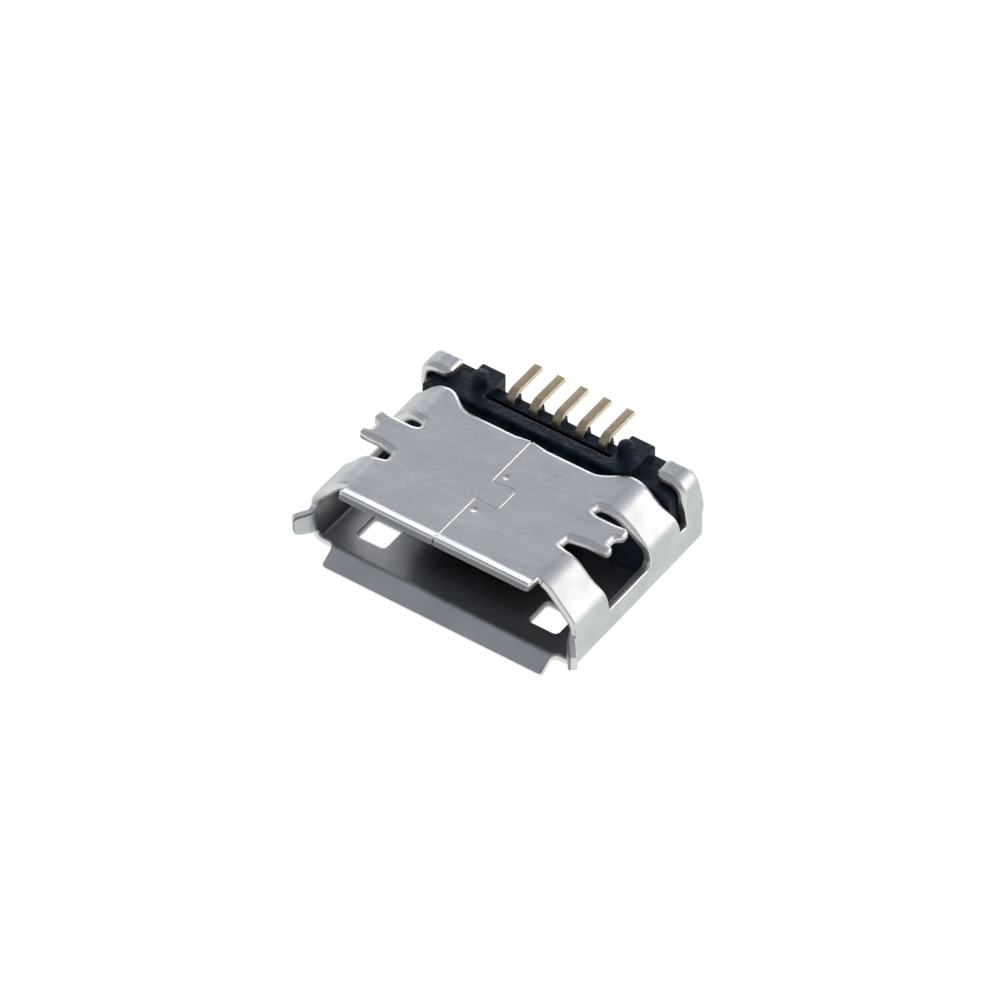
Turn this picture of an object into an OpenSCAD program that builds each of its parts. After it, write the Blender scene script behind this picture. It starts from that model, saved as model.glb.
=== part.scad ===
// Surface-mount micro USB socket, lying with its board side up.
// X runs across the mouth, the plug enters along +Y, and +Z points to the circuit board.
// The origin is the middle of the part's footprint, at the tip of the lower lip.

/* [Shell] */
// Inside width of the mouth, across the wide plate
mouth_w = 7.05; // [6.4:0.01:8]
// Inside height of the mouth
mouth_h = 1.93; // [1.7:0.01:2.6]
// Thickness of the sheet
sheet_t = 0.22; // [0.15:0.01:0.25]
// Outside width of the narrow, board-side plate
top_w = 5.8; // [5.2:0.05:6.2]
// Height of the upright part of each side wall
wall_h = 1.38; // [1.25:0.01:1.5]
// Length of the board-side plate along its seam
top_len = 3.58; // [3.3:0.01:4]
// How far the plate's shoulders reach past its middle
shoulder_len = 0.42; // [0.2:0.01:0.5]
// Length of the side walls and the wide plate
wall_len = 5.1; // [5:0.01:5.6]
// Outside radius of the two lower folds
fold_r_low = 0.33; // [0.3:0.01:0.5]
// Outside radius of the folds between wall and slanted panel
fold_r_side = 0.6; // [0.3:0.01:0.8]
// Outside radius of the folds at the board-side plate
fold_r_top = 0.4; // [0.3:0.01:0.5]

/* [Mouth flanges] */
// Length of the lower lip past the mouth
lip_len = 0.56; // [0.3:0.01:0.8]
// Width of the lower lip
lip_w = 6.16; // [5.4:0.01:6.3]
// How steeply the lower lip flares down, in degrees
lip_angle = 31; // [15:1:45]
// Length of the upper flange past the mouth
brim_len = 0.42; // [0.2:0.01:0.6]
// Width of the upper flange
brim_w = 5.3; // [4.4:0.01:5.4]
// How steeply the upper flange flares up, in degrees
brim_angle = 20; // [5:1:35]
// Length of each side ear past the mouth
ear_len = 0.57; // [0.3:0.01:0.8]
// Height of each side ear at its tip
ear_h = 0.52; // [0.3:0.01:0.6]
// Height of the ear's lower edge above the wide plate's outer face
ear_z = 0.45; // [0.4:0.01:0.6]
// How far each ear flares outwards, in degrees
ear_angle = 40; // [20:1:50]

/* [Latch windows] */
// Distance between the centres of the two latch windows
latch_pitch = 4.86; // [4.4:0.01:5.2]
// Width of a latch window
latch_w = 0.8; // [0.5:0.01:0.95]
// Length of a latch window
latch_len = 0.78; // [0.5:0.01:0.95]
// Distance from the mouth to the front of a latch window
latch_y = 0.5; // [0.4:0.01:0.8]

/* [Solder wings] */
// Distance from the mouth to the front of a wing
wing_y = 1.57; // [1.45:0.01:1.7]
// Length of a wing along the socket
wing_len = 0.91; // [0.8:0.01:1]
// Width over the tips of both wings
wing_span = 6.98; // [6.6:0.01:7.3]
// Gap between a wing and the front of its window
wing_front_gap = 0.4; // [0.3:0.01:0.45]
// Gap between a wing and the back of its window
wing_back_gap = 0.24; // [0.2:0.01:0.4]
// Distance across the plate between the inner ends of the wing slots
slot_inner_w = 4.88; // [4.7:0.01:5.3]
// Depth of the window, down from the board-side face
window_depth = 1.5; // [1.2:0.01:1.6]

/* [Rear tabs] */
// Distance from the mouth to the front of a rear tab
tab_y = 4.34; // [4.3:0.01:4.5]
// Distance between the folded tips of the two rear tabs
tab_gap = 5.76; // [5.4:0.01:6.2]
// Depth of the slot in front of a tab, down from the board-side face
tab_slot_depth = 1.39; // [1.2:0.01:1.5]

/* [Seam] */
// Gap where the two ends of the sheet meet
seam_gap = 0.02; // [0.01:0.005:0.04]
// Distance from the mouth to the middle of the dovetail
dovetail_y = 1.66; // [1.5:0.01:2]
// Length of the dovetail's head along the seam
dovetail_len = 0.8; // [0.6:0.01:0.9]
// How far the dovetail's head crosses the seam
dovetail_reach = 0.65; // [0.4:0.01:0.8]

/* [Housing] */
// Clearance between the housing and the shell
housing_gap = 0.02; // [0.01:0.01:0.05]
// Depth of the cavity, from the mouth to the housing's front wall
cavity_len = 3.2; // [3:0.01:3.3]
// Length of the housing behind the mouth, to its rear face
housing_len = 5.07; // [5:0.01:5.3]
// Width of the tongue
tongue_w = 3.42; // [3.3:0.01:3.7]
// Thickness of the tongue
tongue_t = 0.6; // [0.5:0.01:0.7]
// Height of the tongue above the wide plate's inner face
tongue_z = 0.48; // [0.4:0.01:0.6]
// Distance from the mouth to the tip of the tongue
tongue_y = 0.8; // [0.6:0.01:1]
// Width over the outer sides of the raised rear blocks
frame_w = 4.88; // [4.8:0.01:5]
// Width of the contact bay between the raised rear blocks
bay_w = 3.54; // [3.4:0.01:3.7]
// Distance from the mouth to the front of the raised rear frame
frame_y = 3.84; // [3.8:0.01:3.9]
// Thickness of the ridge at the front of the raised rear frame
ridge_t = 0.32; // [0.2:0.01:0.34]
// Diameter of a locating peg
peg_d = 0.4; // [0.3:0.01:0.4]
// Height of a locating peg above the board-side face
peg_h = 0.4; // [0.2:0.01:0.6]
// Distance between the two locating pegs
peg_pitch = 4.1; // [4.05:0.01:4.15]
// Distance from the mouth to the locating pegs
peg_y = 4.42; // [4.3:0.01:4.6]

/* [Contacts] */
// Distance between neighbouring contacts
contact_pitch = 0.65; // [0.55:0.01:0.7]
// Width of a contact
contact_w = 0.23; // [0.16:0.01:0.24]
// Thickness of a contact
contact_t = 0.12; // [0.1:0.01:0.15]
// Distance from the mouth to the tip of a soldering foot
foot_y = 5.7; // [5.4:0.01:6.2]
// How far a foot stands above the board-side face
foot_rise = 0.03; // [0:0.01:0.08]
// Distance from the mouth to the rising stretch of a contact
stem_y = 4.32; // [4.3:0.01:4.35]

/* [Hidden] */
$fn = 40;

// Places of the contacts, counted from the middle one
slot_ground = -2;
slot_id = -1;
slot_data_plus = 0;
slot_data_minus = 1;
slot_power = 2;

// Overall sizes of the shell, with the wide plate's outer face at height 0
half_w = mouth_w / 2 + sheet_t;
height = mouth_h + 2 * sheet_t;
half_top = top_w / 2;

// Making: cutters run past what they cut, strips are buried in the sheet that they grow from,
// and a round fold or corner is drawn in short straight steps
through = 1;
overlap = 0.1;
arc_steps = 8;
edge_steps = 40;

// Folds of the flanges, measured at the middle of the sheet, and the corners cut in them
flange_fold_r = 0.25;
lip_corner_r = 0.17;
ear_corner_r = 0.13;
ear_taper = 0.08;
relief_r = 0.06;

// Rear edge of the plate and the slanted panels
shoulder_start = 1.7;
shoulder_end = 2.6;
panel_lean = 0.08;
panel_bend_rise = 0.2;
panel_bend_z = wall_h + panel_bend_rise;
panel_bend_r = 0.4;

// Slots in front of the rear tabs
slot_w = 0.28;
slot_corner_r = 0.05;
slot_front = tab_y - 0.15;
slot_z = height - tab_slot_depth;

// Rear tabs: the front edge leans, and the rear edge bulges at the wall
tab_fold_r = 0.42;
tab_tip_r = 0.22;
tab_rear = wall_len - 0.12;
tab_bulge = 0.06;
tab_edge_r = 0.3;
tab_lean_drop = 0.6;

// Solder wings, each with two round prongs and a groove between them
wing_prong_r = 0.09;
wing_tip_r = 0.11;
wing_groove = 0.15;
wing_groove_w = 0.34;
wing_groove_y = wing_y + 0.45 * wing_len;

// Windows beside the wings, narrower at the top than at the bottom
window_front = wing_y - wing_front_gap;
window_rear = wing_y + wing_len + wing_back_gap;
window_z = height - window_depth;
window_lean_front = 0.07;
window_lean_rear = 0.27;
window_knee_front = 0.4;
window_knee_rear = 0.5;
window_corner_r = 0.16;
window_point_r = 0.04;
window_knee_r = 0.3;

// Slots that free the wings from the plate
wing_slot_r = 0.05;
wing_slot_taper = 0.2;

// Latch windows
latch_front_r = 0.12;
latch_rear_r = 0.08;

// Dovetail
dovetail_flare = 0.08;
dovetail_neck_r = 0.05;
dovetail_head_r = 0.12;

// Housing
ledge_drop = 0.3;
ledge_chamfer = 0.18;
pocket_drop = 0.62;
bay_rear_wall = 0.27;
bay_rear = housing_len - bay_rear_wall;
block_corner_r = 0.42;
peg_chamfer = 0.06;
tongue_chamfer = 0.14;
tongue_low_chamfer = 0.06;
contact_gap = 0.01;

// Contacts
contact_proud = 0.03;
contact_front = tongue_y + 0.15;
stem_lean = 0.28;
stem_low_r = 0.14;
stem_top_r = 0.28;
foot_start = stem_y + stem_lean;
beam_z = sheet_t + tongue_z + tongue_t + contact_proud - contact_t / 2;
foot_z = height + foot_rise - contact_t / 2;

// Supports under the feet
support_w = 0.3;
support_drop = contact_t - foot_rise + contact_gap;

// Reach of the flanges past the mouth, which places the part on its origin
lip_drop = fold_drop(lip_len, lip_angle) + sheet_t / 2 * (cos(lip_angle) - 1);
lip_reach = fold_reach(lip_len, lip_angle) + sheet_t / 2 * sin(lip_angle);
ear_reach = fold_reach(ear_len, ear_angle) + sheet_t / 2 * sin(ear_angle);
mouth_reach = max(lip_reach, ear_reach);
place_y = (mouth_reach - foot_y) / 2;
place_z = lip_drop;

// How far a strip of length len, folded by angle, reaches forwards and sideways
function fold_start(angle) = flange_fold_r * tan(angle / 2);
function fold_reach(len, angle) = fold_start(angle) + (len - fold_start(angle)) * cos(angle);
function fold_drop(len, angle) = (len - fold_start(angle)) * sin(angle);

// Vectors and outlines
function unit(v) = v / norm(v);
function left_of(v) = [-v[1], v[0]];
function flipped(list) = [for (i = [len(list) - 1:-1:0]) list[i]];
function mirrored(points) = [for (p = points) [-p[0], p[1]]];

// A point moved sideways so that both lines that meet there move by d
function offset_point(before, p, after, d) =
    let (a = left_of(unit(p - before)), b = left_of(unit(after - p))) p + d * (a + b) / (1 + a * b);

// A closed outline, anticlockwise, moved inwards by d
function inset(points, d) =
    let (n = len(points))
    [for (i = [0:n - 1]) offset_point(points[(i + n - 1) % n], points[i], points[(i + 1) % n], d)];

// The arc that rounds the corner p by radius r
function round_corner(before, p, after, r) =
    r <= 0 ? [p] :
    let (a = unit(before - p), b = unit(after - p), half = acos(a * b) / 2,
         middle = p + unit(a + b) * r / sin(half),
         from = p + a * r / tan(half) - middle, to = p + b * r / tan(half) - middle,
         turn = 180 - 2 * half)
    [for (i = [0:arc_steps])
        middle + (sin(turn * (1 - i / arc_steps)) * from + sin(turn * i / arc_steps) * to) / sin(turn)];

// A closed outline with each corner rounded by its own radius
function rounded(points, radii) =
    let (n = len(points))
    [for (i = [0:n - 1],
          q = round_corner(points[(i + n - 1) % n], points[i], points[(i + 1) % n], radii[i])) q];

// An open path with its inner corners rounded
function bent(points, radii) =
    let (n = len(points))
    concat([points[0]],
           [for (i = [1:n - 2], q = round_corner(points[i - 1], points[i], points[i + 1], radii[i - 1])) q],
           [points[n - 1]]);

// One side of a path, at distance d
function path_side(path, d) =
    let (n = len(path))
    [for (i = [0:n - 1])
        let (before = i == 0 ? 2 * path[0] - path[1] : path[i - 1],
             after = i == n - 1 ? 2 * path[i] - path[i - 1] : path[i + 1])
        offset_point(before, path[i], after, d)];

// The outline of a strip of thickness t along a path
function strip(path, t) = concat(path_side(path, -t / 2), flipped(path_side(path, t / 2)));

// The path of a flange that leaves the sheet at y = 0 and flares by angle, to side 1 (up) or -1 (down)
function flare_path(z, len, angle, side) =
    bent([[overlap, z], [0 - fold_start(angle), z],
          [0 - fold_reach(len, angle), z + side * fold_drop(len, angle)]], [flange_fold_r]);

// Extrusions of an outline along one axis
module along_x(from, to) {
    translate([from, 0, 0]) rotate([90, 0, 90])
        linear_extrude(to - from) children();
}
module along_y(from, to) {
    translate([0, to, 0]) rotate([90, 0, 0])
        linear_extrude(to - from) children();
}
module along_z(from, to) {
    translate([0, 0, from])
        linear_extrude(to - from) children();
}
module both_sides() { children(); mirror([1, 0, 0]) children(); }
module placed() { translate([0, place_y, place_z]) children(); }

// Outside outline of the shell's section
shell_corners = [[-half_w, 0], [half_w, 0], [half_w, wall_h], [half_top, height],
                 [-half_top, height], [-half_w, wall_h]];
shell_radii = [fold_r_low, fold_r_low, fold_r_side, fold_r_top, fold_r_top, fold_r_side];
// The same, where the walls stand straight behind the slots
tray_corners = [[-half_w, 0], [half_w, 0], [half_w, height + through], [-half_w, height + through]];
tray_radii = [fold_r_low, fold_r_low, 0, 0];

function thinner(radii, d) = [for (r = radii) max(r - d, 0)];
function section(corners, radii, d) = rounded(inset(corners, d), thinner(radii, d));

module sheet_section(corners, radii) {
    difference() {
        polygon(section(corners, radii, 0));
        polygon(section(corners, radii, sheet_t));
    }
}

// Rear edge of the plate: straight across the seam, then back to the shoulders in an S
function rear_edge_y(x) =
    let (s = min(max((abs(x) - shoulder_start) / (shoulder_end - shoulder_start), 0), 1))
    top_len + shoulder_len * (1 - cos(180 * s)) / 2;
rear_edge_x = half_top + 2 * overlap;
rear_edge = [for (i = [0:edge_steps]) let (x = rear_edge_x * (2 * i / edge_steps - 1)) [x, rear_edge_y(x)]];

// What is cut away behind the plate and the slanted panels, seen from the side
module rear_opening() {
    panel_rear = top_len + shoulder_len;
    along_x(-half_w - through, half_w + through)
        polygon(rounded([[panel_rear, height + through], [panel_rear, height],
                         [panel_rear + panel_lean, panel_bend_z], [slot_front, slot_z], [wall_len, slot_z],
                         [wall_len, height + through]], [0, 0, panel_bend_r, slot_corner_r, 0, 0]));
    along_z(height - 2 * sheet_t, height + through)
        polygon(concat(rear_edge, [[rear_edge_x, wall_len], [-rear_edge_x, wall_len]]));
}

// Front part of the shell, a closed section from the mouth to the slots
module front_tube() {
    difference() {
        along_y(0, slot_front) sheet_section(shell_corners, shell_radii);
        rear_opening();
    }
}

// Rear part, open towards the board
module rear_tray() {
    intersection() {
        along_y(slot_front - overlap, wall_len) sheet_section(tray_corners, tray_radii);
        along_x(-half_w - through, half_w + through) polygon([[0, -through], [wall_len, -through],
                                                             [wall_len, slot_z], [0, slot_z]]);
    }
}

// Side outline of a rear tab: a straight front edge that leans, and a bulging rear edge
tab_side = rounded([[slot_front + slot_w + overlap, slot_z - overlap], [wall_len, slot_z - overlap],
                    [wall_len + tab_bulge, slot_z + overlap], [tab_rear, height + through],
                    [tab_y, height + through], [tab_y, height - tab_lean_drop],
                    [slot_front + slot_w, slot_z]], [0, 0, tab_edge_r, 0, 0, tab_edge_r, 0]);

// A rear tab, which stands up from the wall and folds in over the housing
module rear_tab() {
    intersection() {
        along_y(slot_front, wall_len + through)
            polygon(strip(bent([[half_w - sheet_t / 2, slot_z - overlap],
                                [half_w - sheet_t / 2, height - sheet_t / 2],
                                [tab_gap / 2, height - sheet_t / 2]], [tab_fold_r]), sheet_t));
        along_x(0, half_w + through) polygon(tab_side);
        along_z(0, height + through)
            polygon(rounded([[tab_gap / 2, tab_y], [half_w + through, tab_y - through],
                             [half_w + through, wall_len + through], [tab_gap / 2, tab_rear]],
                            [tab_tip_r, 0, 0, tab_tip_r]));
    }
}

module lower_lip() {
    intersection() {
        along_x(-half_w, half_w) polygon(strip(flare_path(sheet_t / 2, lip_len, lip_angle, -1), sheet_t));
        along_z(-through, through)
            polygon(concat(lip_side(), mirrored(flipped(lip_side()))));
    }
}

// Right edge of the lip, with a round inner corner where it meets the sheet
function lip_side() =
    concat(round_corner([0, -lip_len], [lip_w / 2, -lip_len], [lip_w / 2, 0], 0),
           round_corner([lip_w / 2, -lip_len], [lip_w / 2, 0], [half_w, 0], lip_corner_r),
           [[lip_w / 2 + lip_corner_r, overlap]]);

module upper_brim() {
    intersection() {
        along_x(-brim_w / 2, brim_w / 2)
            polygon(strip(flare_path(height - sheet_t / 2, brim_len, brim_angle, 1), sheet_t));
        along_z(height - through, height + through)
            polygon(rounded([[-brim_w / 2, -through], [brim_w / 2, -through],
                             [brim_w / 2, overlap], [-brim_w / 2, overlap]], [0, 0, 0, 0]));
    }
}

module side_ear() {
    intersection() {
        along_z(0, height)
            polygon(strip(bent([[half_w - sheet_t / 2, overlap],
                                [half_w - sheet_t / 2, -fold_start(ear_angle)],
                                [half_w - sheet_t / 2 + fold_drop(ear_len, ear_angle),
                                 -fold_reach(ear_len, ear_angle)]], [flange_fold_r]), sheet_t));
        along_x(0, half_w + through)
            polygon(rounded([[overlap, ear_z - ear_taper / 2], [-ear_len, ear_z], [-ear_len, ear_z + ear_h],
                             [overlap, ear_z + ear_h + ear_taper]], [0, ear_corner_r, ear_corner_r, 0]));
    }
}

// A wing's outline, from its root in the plate to its two prongs
module wing() {
    root = slot_inner_w / 2 - overlap;
    tip = wing_span / 2;
    groove = tip - wing_groove;
    groove_front = wing_groove_y - wing_groove_w / 2;
    groove_rear = wing_groove_y + wing_groove_w / 2;
    along_z(height - sheet_t, height)
        polygon(rounded([[root, wing_y - overlap], [half_top, wing_y], [tip, wing_y], [tip, groove_front],
                         [groove, groove_front], [groove, groove_rear], [tip, groove_rear],
                         [tip, wing_y + wing_len], [root, wing_y + wing_len]],
                        [0, wing_prong_r, wing_tip_r, wing_prong_r, wing_prong_r, wing_prong_r,
                         wing_prong_r, wing_tip_r, 0]));
}

// The window beside a wing, and the two slots that free the wing from the plate
module side_window() {
    along_x(half_top, half_w + through)
        polygon(rounded([[window_front + 2 * window_lean_front, window_z],
                         [window_rear + window_lean_rear, window_z],
                         [window_rear + window_lean_rear, window_z + window_knee_rear],
                         [window_rear, height], [window_rear, height + through],
                         [window_front, height + through], [window_front, height],
                         [window_front + window_lean_front, window_z + window_knee_front]],
                        [window_point_r, window_corner_r, window_knee_r, 0, 0, 0, 0, window_knee_r]));
    along_z(height - 2 * sheet_t, height + through) {
        wing_slot(window_front, wing_y);
        wing_slot(wing_y + wing_len, window_rear);
    }
}

module wing_slot(front, back) {
    inner = slot_inner_w / 2;
    outer = half_top + overlap;
    polygon(rounded([[inner, front + wing_slot_r], [inner + wing_slot_taper, front], [outer, front],
                     [outer, back], [inner + wing_slot_r, back]],
                    [wing_slot_r, 2 * wing_slot_r, 0, 0, wing_slot_r]));
}

module latch_window() {
    x0 = latch_pitch / 2 - latch_w / 2;
    y1 = latch_y + latch_len;
    along_z(-through, 2 * sheet_t)
        polygon(rounded([[x0, latch_y], [x0 + latch_w, latch_y], [x0 + latch_w, y1], [x0, y1]],
                        [latch_front_r, latch_front_r, latch_rear_r, latch_rear_r]));
}

// The seam's line with its dovetail, as a cut of the gap's width
module seam() {
    front = dovetail_y - dovetail_len / 2;
    back = dovetail_y + dovetail_len / 2;
    path = bent([[0, -through], [0, front + dovetail_flare], [dovetail_reach, front],
                 [dovetail_reach, back], [0, back - dovetail_flare], [0, top_len + through]],
                [dovetail_neck_r, dovetail_head_r, dovetail_head_r, dovetail_neck_r]);
    along_z(height - 2 * sheet_t, height + through) polygon(strip(path, seam_gap));
}

module shell() {
    color("silver") placed() difference() {
        union() {
            difference() {
                union() {
                    front_tube();
                    rear_tray();
                }
                both_sides() side_window();
            }
            both_sides() {
                rear_tab();
                side_ear();
                wing();
            }
            lower_lip();
            upper_brim();
        }
        both_sides() {
            latch_window();
            translate([brim_w / 2 + relief_r / 2, 0, height - 2 * sheet_t])
                cylinder(h = 4 * sheet_t, r = relief_r);
        }
        seam();
    }
}

// Path of a contact, seen from the side: a beam on the tongue, a rising stem and a foot
contact_path = bent([[contact_front, beam_z], [stem_y, beam_z], [foot_start, foot_z],
                     [foot_y, foot_z]], [stem_low_r, stem_top_r]);

module contact_at(slot, gap) {
    translate([slot * contact_pitch, 0, 0])
        along_x(-contact_w / 2 - gap, contact_w / 2 + gap)
            polygon(strip(contact_path, contact_t + 2 * gap));
}

module contact(slot) { color("tan") placed() contact_at(slot, 0); }
module contact_power() { contact(slot_power); }
module contact_data_minus() { contact(slot_data_minus); }
module contact_data_plus() { contact(slot_data_plus); }
module contact_id() { contact(slot_id); }
module contact_ground() { contact(slot_ground); }

// The plug of plastic that fills the back of the shell
module housing_body() {
    inner = sheet_t + housing_gap;
    along_y(cavity_len, slot_front + overlap) polygon(section(shell_corners, shell_radii, inner));
    side = half_w - inner;
    top = height - ledge_drop;
    low_r = max(fold_r_low - inner, 0);
    along_y(slot_front, housing_len)
        polygon(rounded([[-side, inner], [side, inner],
                         [side, top - ledge_chamfer], [side - ledge_chamfer, top],
                         [ledge_chamfer - side, top], [-side, top - ledge_chamfer]],
                        [low_r, low_r, 0, 0, 0, 0]));
}

// The raised frame at the rear: a ridge across the front and a block at each end
module raised_frame() {
    half = frame_w / 2;
    along_z(height - ledge_drop - overlap, height)
        polygon(rounded([[-half, frame_y], [half, frame_y], [half, housing_len], [-half, housing_len]],
                        [block_corner_r, block_corner_r, 0, 0]));
}

module peg() {
    translate([peg_pitch / 2, peg_y, height - overlap])
        cylinder(h = peg_h - peg_chamfer + overlap, d = peg_d);
    translate([peg_pitch / 2, peg_y, height + peg_h - peg_chamfer])
        cylinder(h = peg_chamfer, r1 = peg_d / 2, r2 = peg_d / 2 - peg_chamfer);
}

module tongue() {
    z0 = sheet_t + tongue_z;
    z1 = z0 + tongue_t;
    along_x(-tongue_w / 2, tongue_w / 2)
        polygon([[tongue_y, z0 + tongue_low_chamfer], [tongue_y + tongue_low_chamfer, z0],
                 [cavity_len + overlap, z0],
                 [cavity_len + overlap, z1], [tongue_y + tongue_chamfer, z1],
                 [tongue_y, z1 - tongue_chamfer]]);
}

// The bay that the contacts rise out of: a shallow floor, with a pocket at its front and its rear
module contact_bay() {
    front = frame_y + ridge_t;
    rear = housing_len + through;
    bay_cut(front, rear, ledge_drop);
    bay_cut(front, foot_start, pocket_drop);
    bay_cut(bay_rear, rear, pocket_drop);
}

module bay_cut(front, rear, drop) {
    along_z(height - drop, height + through)
        polygon([[-bay_w / 2, front], [bay_w / 2, front], [bay_w / 2, rear], [-bay_w / 2, rear]]);
}

module foot_support(slot) {
    translate([slot * contact_pitch - support_w / 2, foot_start, height - ledge_drop - overlap])
        cube([support_w, bay_rear - foot_start, ledge_drop + overlap - support_drop]);
}

module housing() {
    color("#20252e") placed() difference() {
        union() {
            difference() {
                union() {
                    housing_body();
                    raised_frame();
                }
                contact_bay();
            }
            tongue();
            both_sides() peg();
            for (slot = [slot_ground:slot_power]) foot_support(slot);
        }
        for (slot = [slot_ground:slot_power]) contact_at(slot, contact_gap);
    }
}

shell();
housing();
contact_power();
contact_data_minus();
contact_data_plus();
contact_id();
contact_ground();
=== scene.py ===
"""Looks of the surface-mount micro USB socket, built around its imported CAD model.

The frame is the CAD model's own: X across the mouth, +Y the way the plug goes in, and +Z towards
the circuit board. Sizes in the classes are millimetres, and every mesh is written in metres.
"""

import logging
import math
from collections.abc import Callable
from dataclasses import dataclass, field
from enum import Enum

import bmesh
import bpy
import numpy as np
from mathutils import Matrix, Vector
from mathutils.geometry import delaunay_2d_cdt

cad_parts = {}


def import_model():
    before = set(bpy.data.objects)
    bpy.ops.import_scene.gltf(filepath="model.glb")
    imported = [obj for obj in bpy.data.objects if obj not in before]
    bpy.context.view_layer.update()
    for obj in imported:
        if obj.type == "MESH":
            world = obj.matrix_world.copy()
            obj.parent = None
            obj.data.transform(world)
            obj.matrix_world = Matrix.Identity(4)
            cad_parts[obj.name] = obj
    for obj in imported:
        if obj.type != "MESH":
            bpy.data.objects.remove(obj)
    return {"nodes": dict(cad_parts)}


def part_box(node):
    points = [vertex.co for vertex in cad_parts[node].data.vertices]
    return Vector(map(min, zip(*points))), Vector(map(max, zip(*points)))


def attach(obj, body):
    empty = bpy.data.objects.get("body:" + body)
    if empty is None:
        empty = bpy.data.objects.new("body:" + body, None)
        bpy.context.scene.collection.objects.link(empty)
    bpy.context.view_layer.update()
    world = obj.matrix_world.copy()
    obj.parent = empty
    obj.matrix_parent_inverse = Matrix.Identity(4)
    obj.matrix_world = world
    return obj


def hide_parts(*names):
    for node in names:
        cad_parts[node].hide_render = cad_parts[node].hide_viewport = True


LOG = logging.getLogger("socket")
MM = 0.001
CONTACT_PITCH = 0.65
CONTACTS = ("contact_ground", "contact_id", "contact_data_plus", "contact_data_minus", "contact_power")
# How many points are tested at a time, to save memory.
CHUNK = 1000
# The angles of the rings round a rounded edge.
QUARTER = [math.radians(a) for a in (22, 45, 68, 90)]
# Grain that is no longer one way than another, and the span in which most of a noise lies.
EVEN = (1.0, 1.0, 1.0)
MOST = (0.3, 0.7)
Point = tuple[float, float]
Corner = tuple[float, float, float]


def linear(hex_colour: str) -> tuple[float, float, float, float]:
    """Turn an sRGB hex colour into a linear one.

    Args:
        hex_colour: Six hex digits, such as "a2a6ae".

    Returns:
        Linear red, green and blue, with an alpha of 1.
    """
    parts = [int(hex_colour[i:i + 2], 16) / 255 for i in (0, 2, 4)]
    parts = [c / 12.92 if c <= 0.04045 else ((c + 0.055) / 1.055) ** 2.4 for c in parts]
    return parts[0], parts[1], parts[2], 1.0


def set_inputs(node: bpy.types.Node, inputs: dict) -> None:
    """Give a node's inputs their values and links.

    Args:
        node: The node.
        inputs: Input names or numbers, each with a value, with a socket to link, or with a node
            whose first output is linked.
    """
    for name, value in inputs.items():
        if isinstance(value, bpy.types.Node):
            value = value.outputs[0]
        if isinstance(value, bpy.types.NodeSocket):
            node.id_data.links.new(value, node.inputs[name])
        else:
            node.inputs[name].default_value = value


def add_node(tree: bpy.types.NodeTree, kind: str, inputs: dict | None = None,
             **settings: object) -> bpy.types.Node:
    """Add a node with its settings and links.

    Args:
        tree: The node tree.
        kind: The node's type name.
        inputs: What its inputs get, as set_inputs takes it.
        settings: The node's own attributes.

    Returns:
        The new node.
    """
    node = tree.nodes.new(kind)
    for name, value in settings.items():
        setattr(node, name, value)
    set_inputs(node, inputs or {})
    return node


def link_object(name: str, data: bpy.types.ID) -> bpy.types.Object:
    """Make an object at the origin and add it to the scene.

    Args:
        name: The object's name.
        data: Its mesh, lamp or camera.

    Returns:
        The new object.
    """
    piece = bpy.data.objects.new(name, data)
    bpy.context.scene.collection.objects.link(piece)
    return piece


def unit(v: np.ndarray) -> np.ndarray:
    """Scale vectors to length one."""
    return v / np.maximum(np.linalg.norm(v, axis=-1, keepdims=True), 1e-12)


def rectangle(first: Point, second: Point) -> list[Point]:
    """Lay out a rectangle between two limits on one axis and two on the other."""
    (x0, x1), (y0, y1) = first, second
    return [(x0, y0), (x1, y0), (x1, y1), (x0, y1)]


def round_corners(corners: list[Corner], steps: int = 6) -> list[Point]:
    """Round the corners of a closed outline.

    Args:
        corners: The outline's corners, each with its radius, which is 0 for a sharp one.
        steps: Straight steps in each arc.

    Returns:
        The outline with its arcs.
    """
    nearly_straight, share = math.radians(89), 0.49
    out: list[Point] = []
    for i, (x, y, r) in enumerate(corners):
        p = np.array((x, y), float)
        a = np.array(corners[i - 1][:2], float) - p
        b = np.array(corners[(i + 1) % len(corners)][:2], float) - p
        la, lb = np.linalg.norm(a), np.linalg.norm(b)
        a, b = a / la, b / lb
        half = math.acos(max(-1.0, min(1.0, float(a @ b)))) / 2
        if r <= 0 or half > nearly_straight:
            out.append((float(x), float(y)))
            continue
        reach = min(r / math.tan(half), share * la, share * lb)
        middle = p + unit(a + b) * reach * math.tan(half) / math.sin(half)
        start, end = p + a * reach - middle, p + b * reach - middle
        turn = math.pi - 2 * half
        for k in range(steps + 1):
            u = k / steps
            q = middle + (math.sin(turn * (1 - u)) * start + math.sin(turn * u) * end) / math.sin(turn)
            out.append((float(q[0]), float(q[1])))
    return out


def resample(points: list[Point], longest: float) -> np.ndarray:
    """Split the sides of a closed outline so that none is longer than a length.

    Args:
        points: The outline.
        longest: The longest side that stays.

    Returns:
        The outline as an array.
    """
    same_place = 1e-4
    out: list[Point] = []
    for i, p in enumerate(points):
        q = points[(i + 1) % len(points)]
        length = math.dist(p, q)
        if length < same_place:
            continue
        parts = max(1, math.ceil(length / longest))
        out += [(p[0] + (q[0] - p[0]) * k / parts, p[1] + (q[1] - p[1]) * k / parts) for k in range(parts)]
    return np.array(out)


def inward(loop: np.ndarray) -> np.ndarray:
    """Find the direction into the material at each point of a loop.

    Args:
        loop: A closed loop with the material on its left.

    Returns:
        Vectors that move both neighbouring sides by one when a point moves by them.
    """
    before = unit(loop - np.roll(loop, 1, 0))
    after = unit(np.roll(loop, -1, 0) - loop)
    a = np.stack([-before[:, 1], before[:, 0]], 1)
    b = np.stack([-after[:, 1], after[:, 0]], 1)
    sharpest = 0.5
    return (a + b) / np.maximum(1 + (a * b).sum(1, keepdims=True), sharpest)


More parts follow.
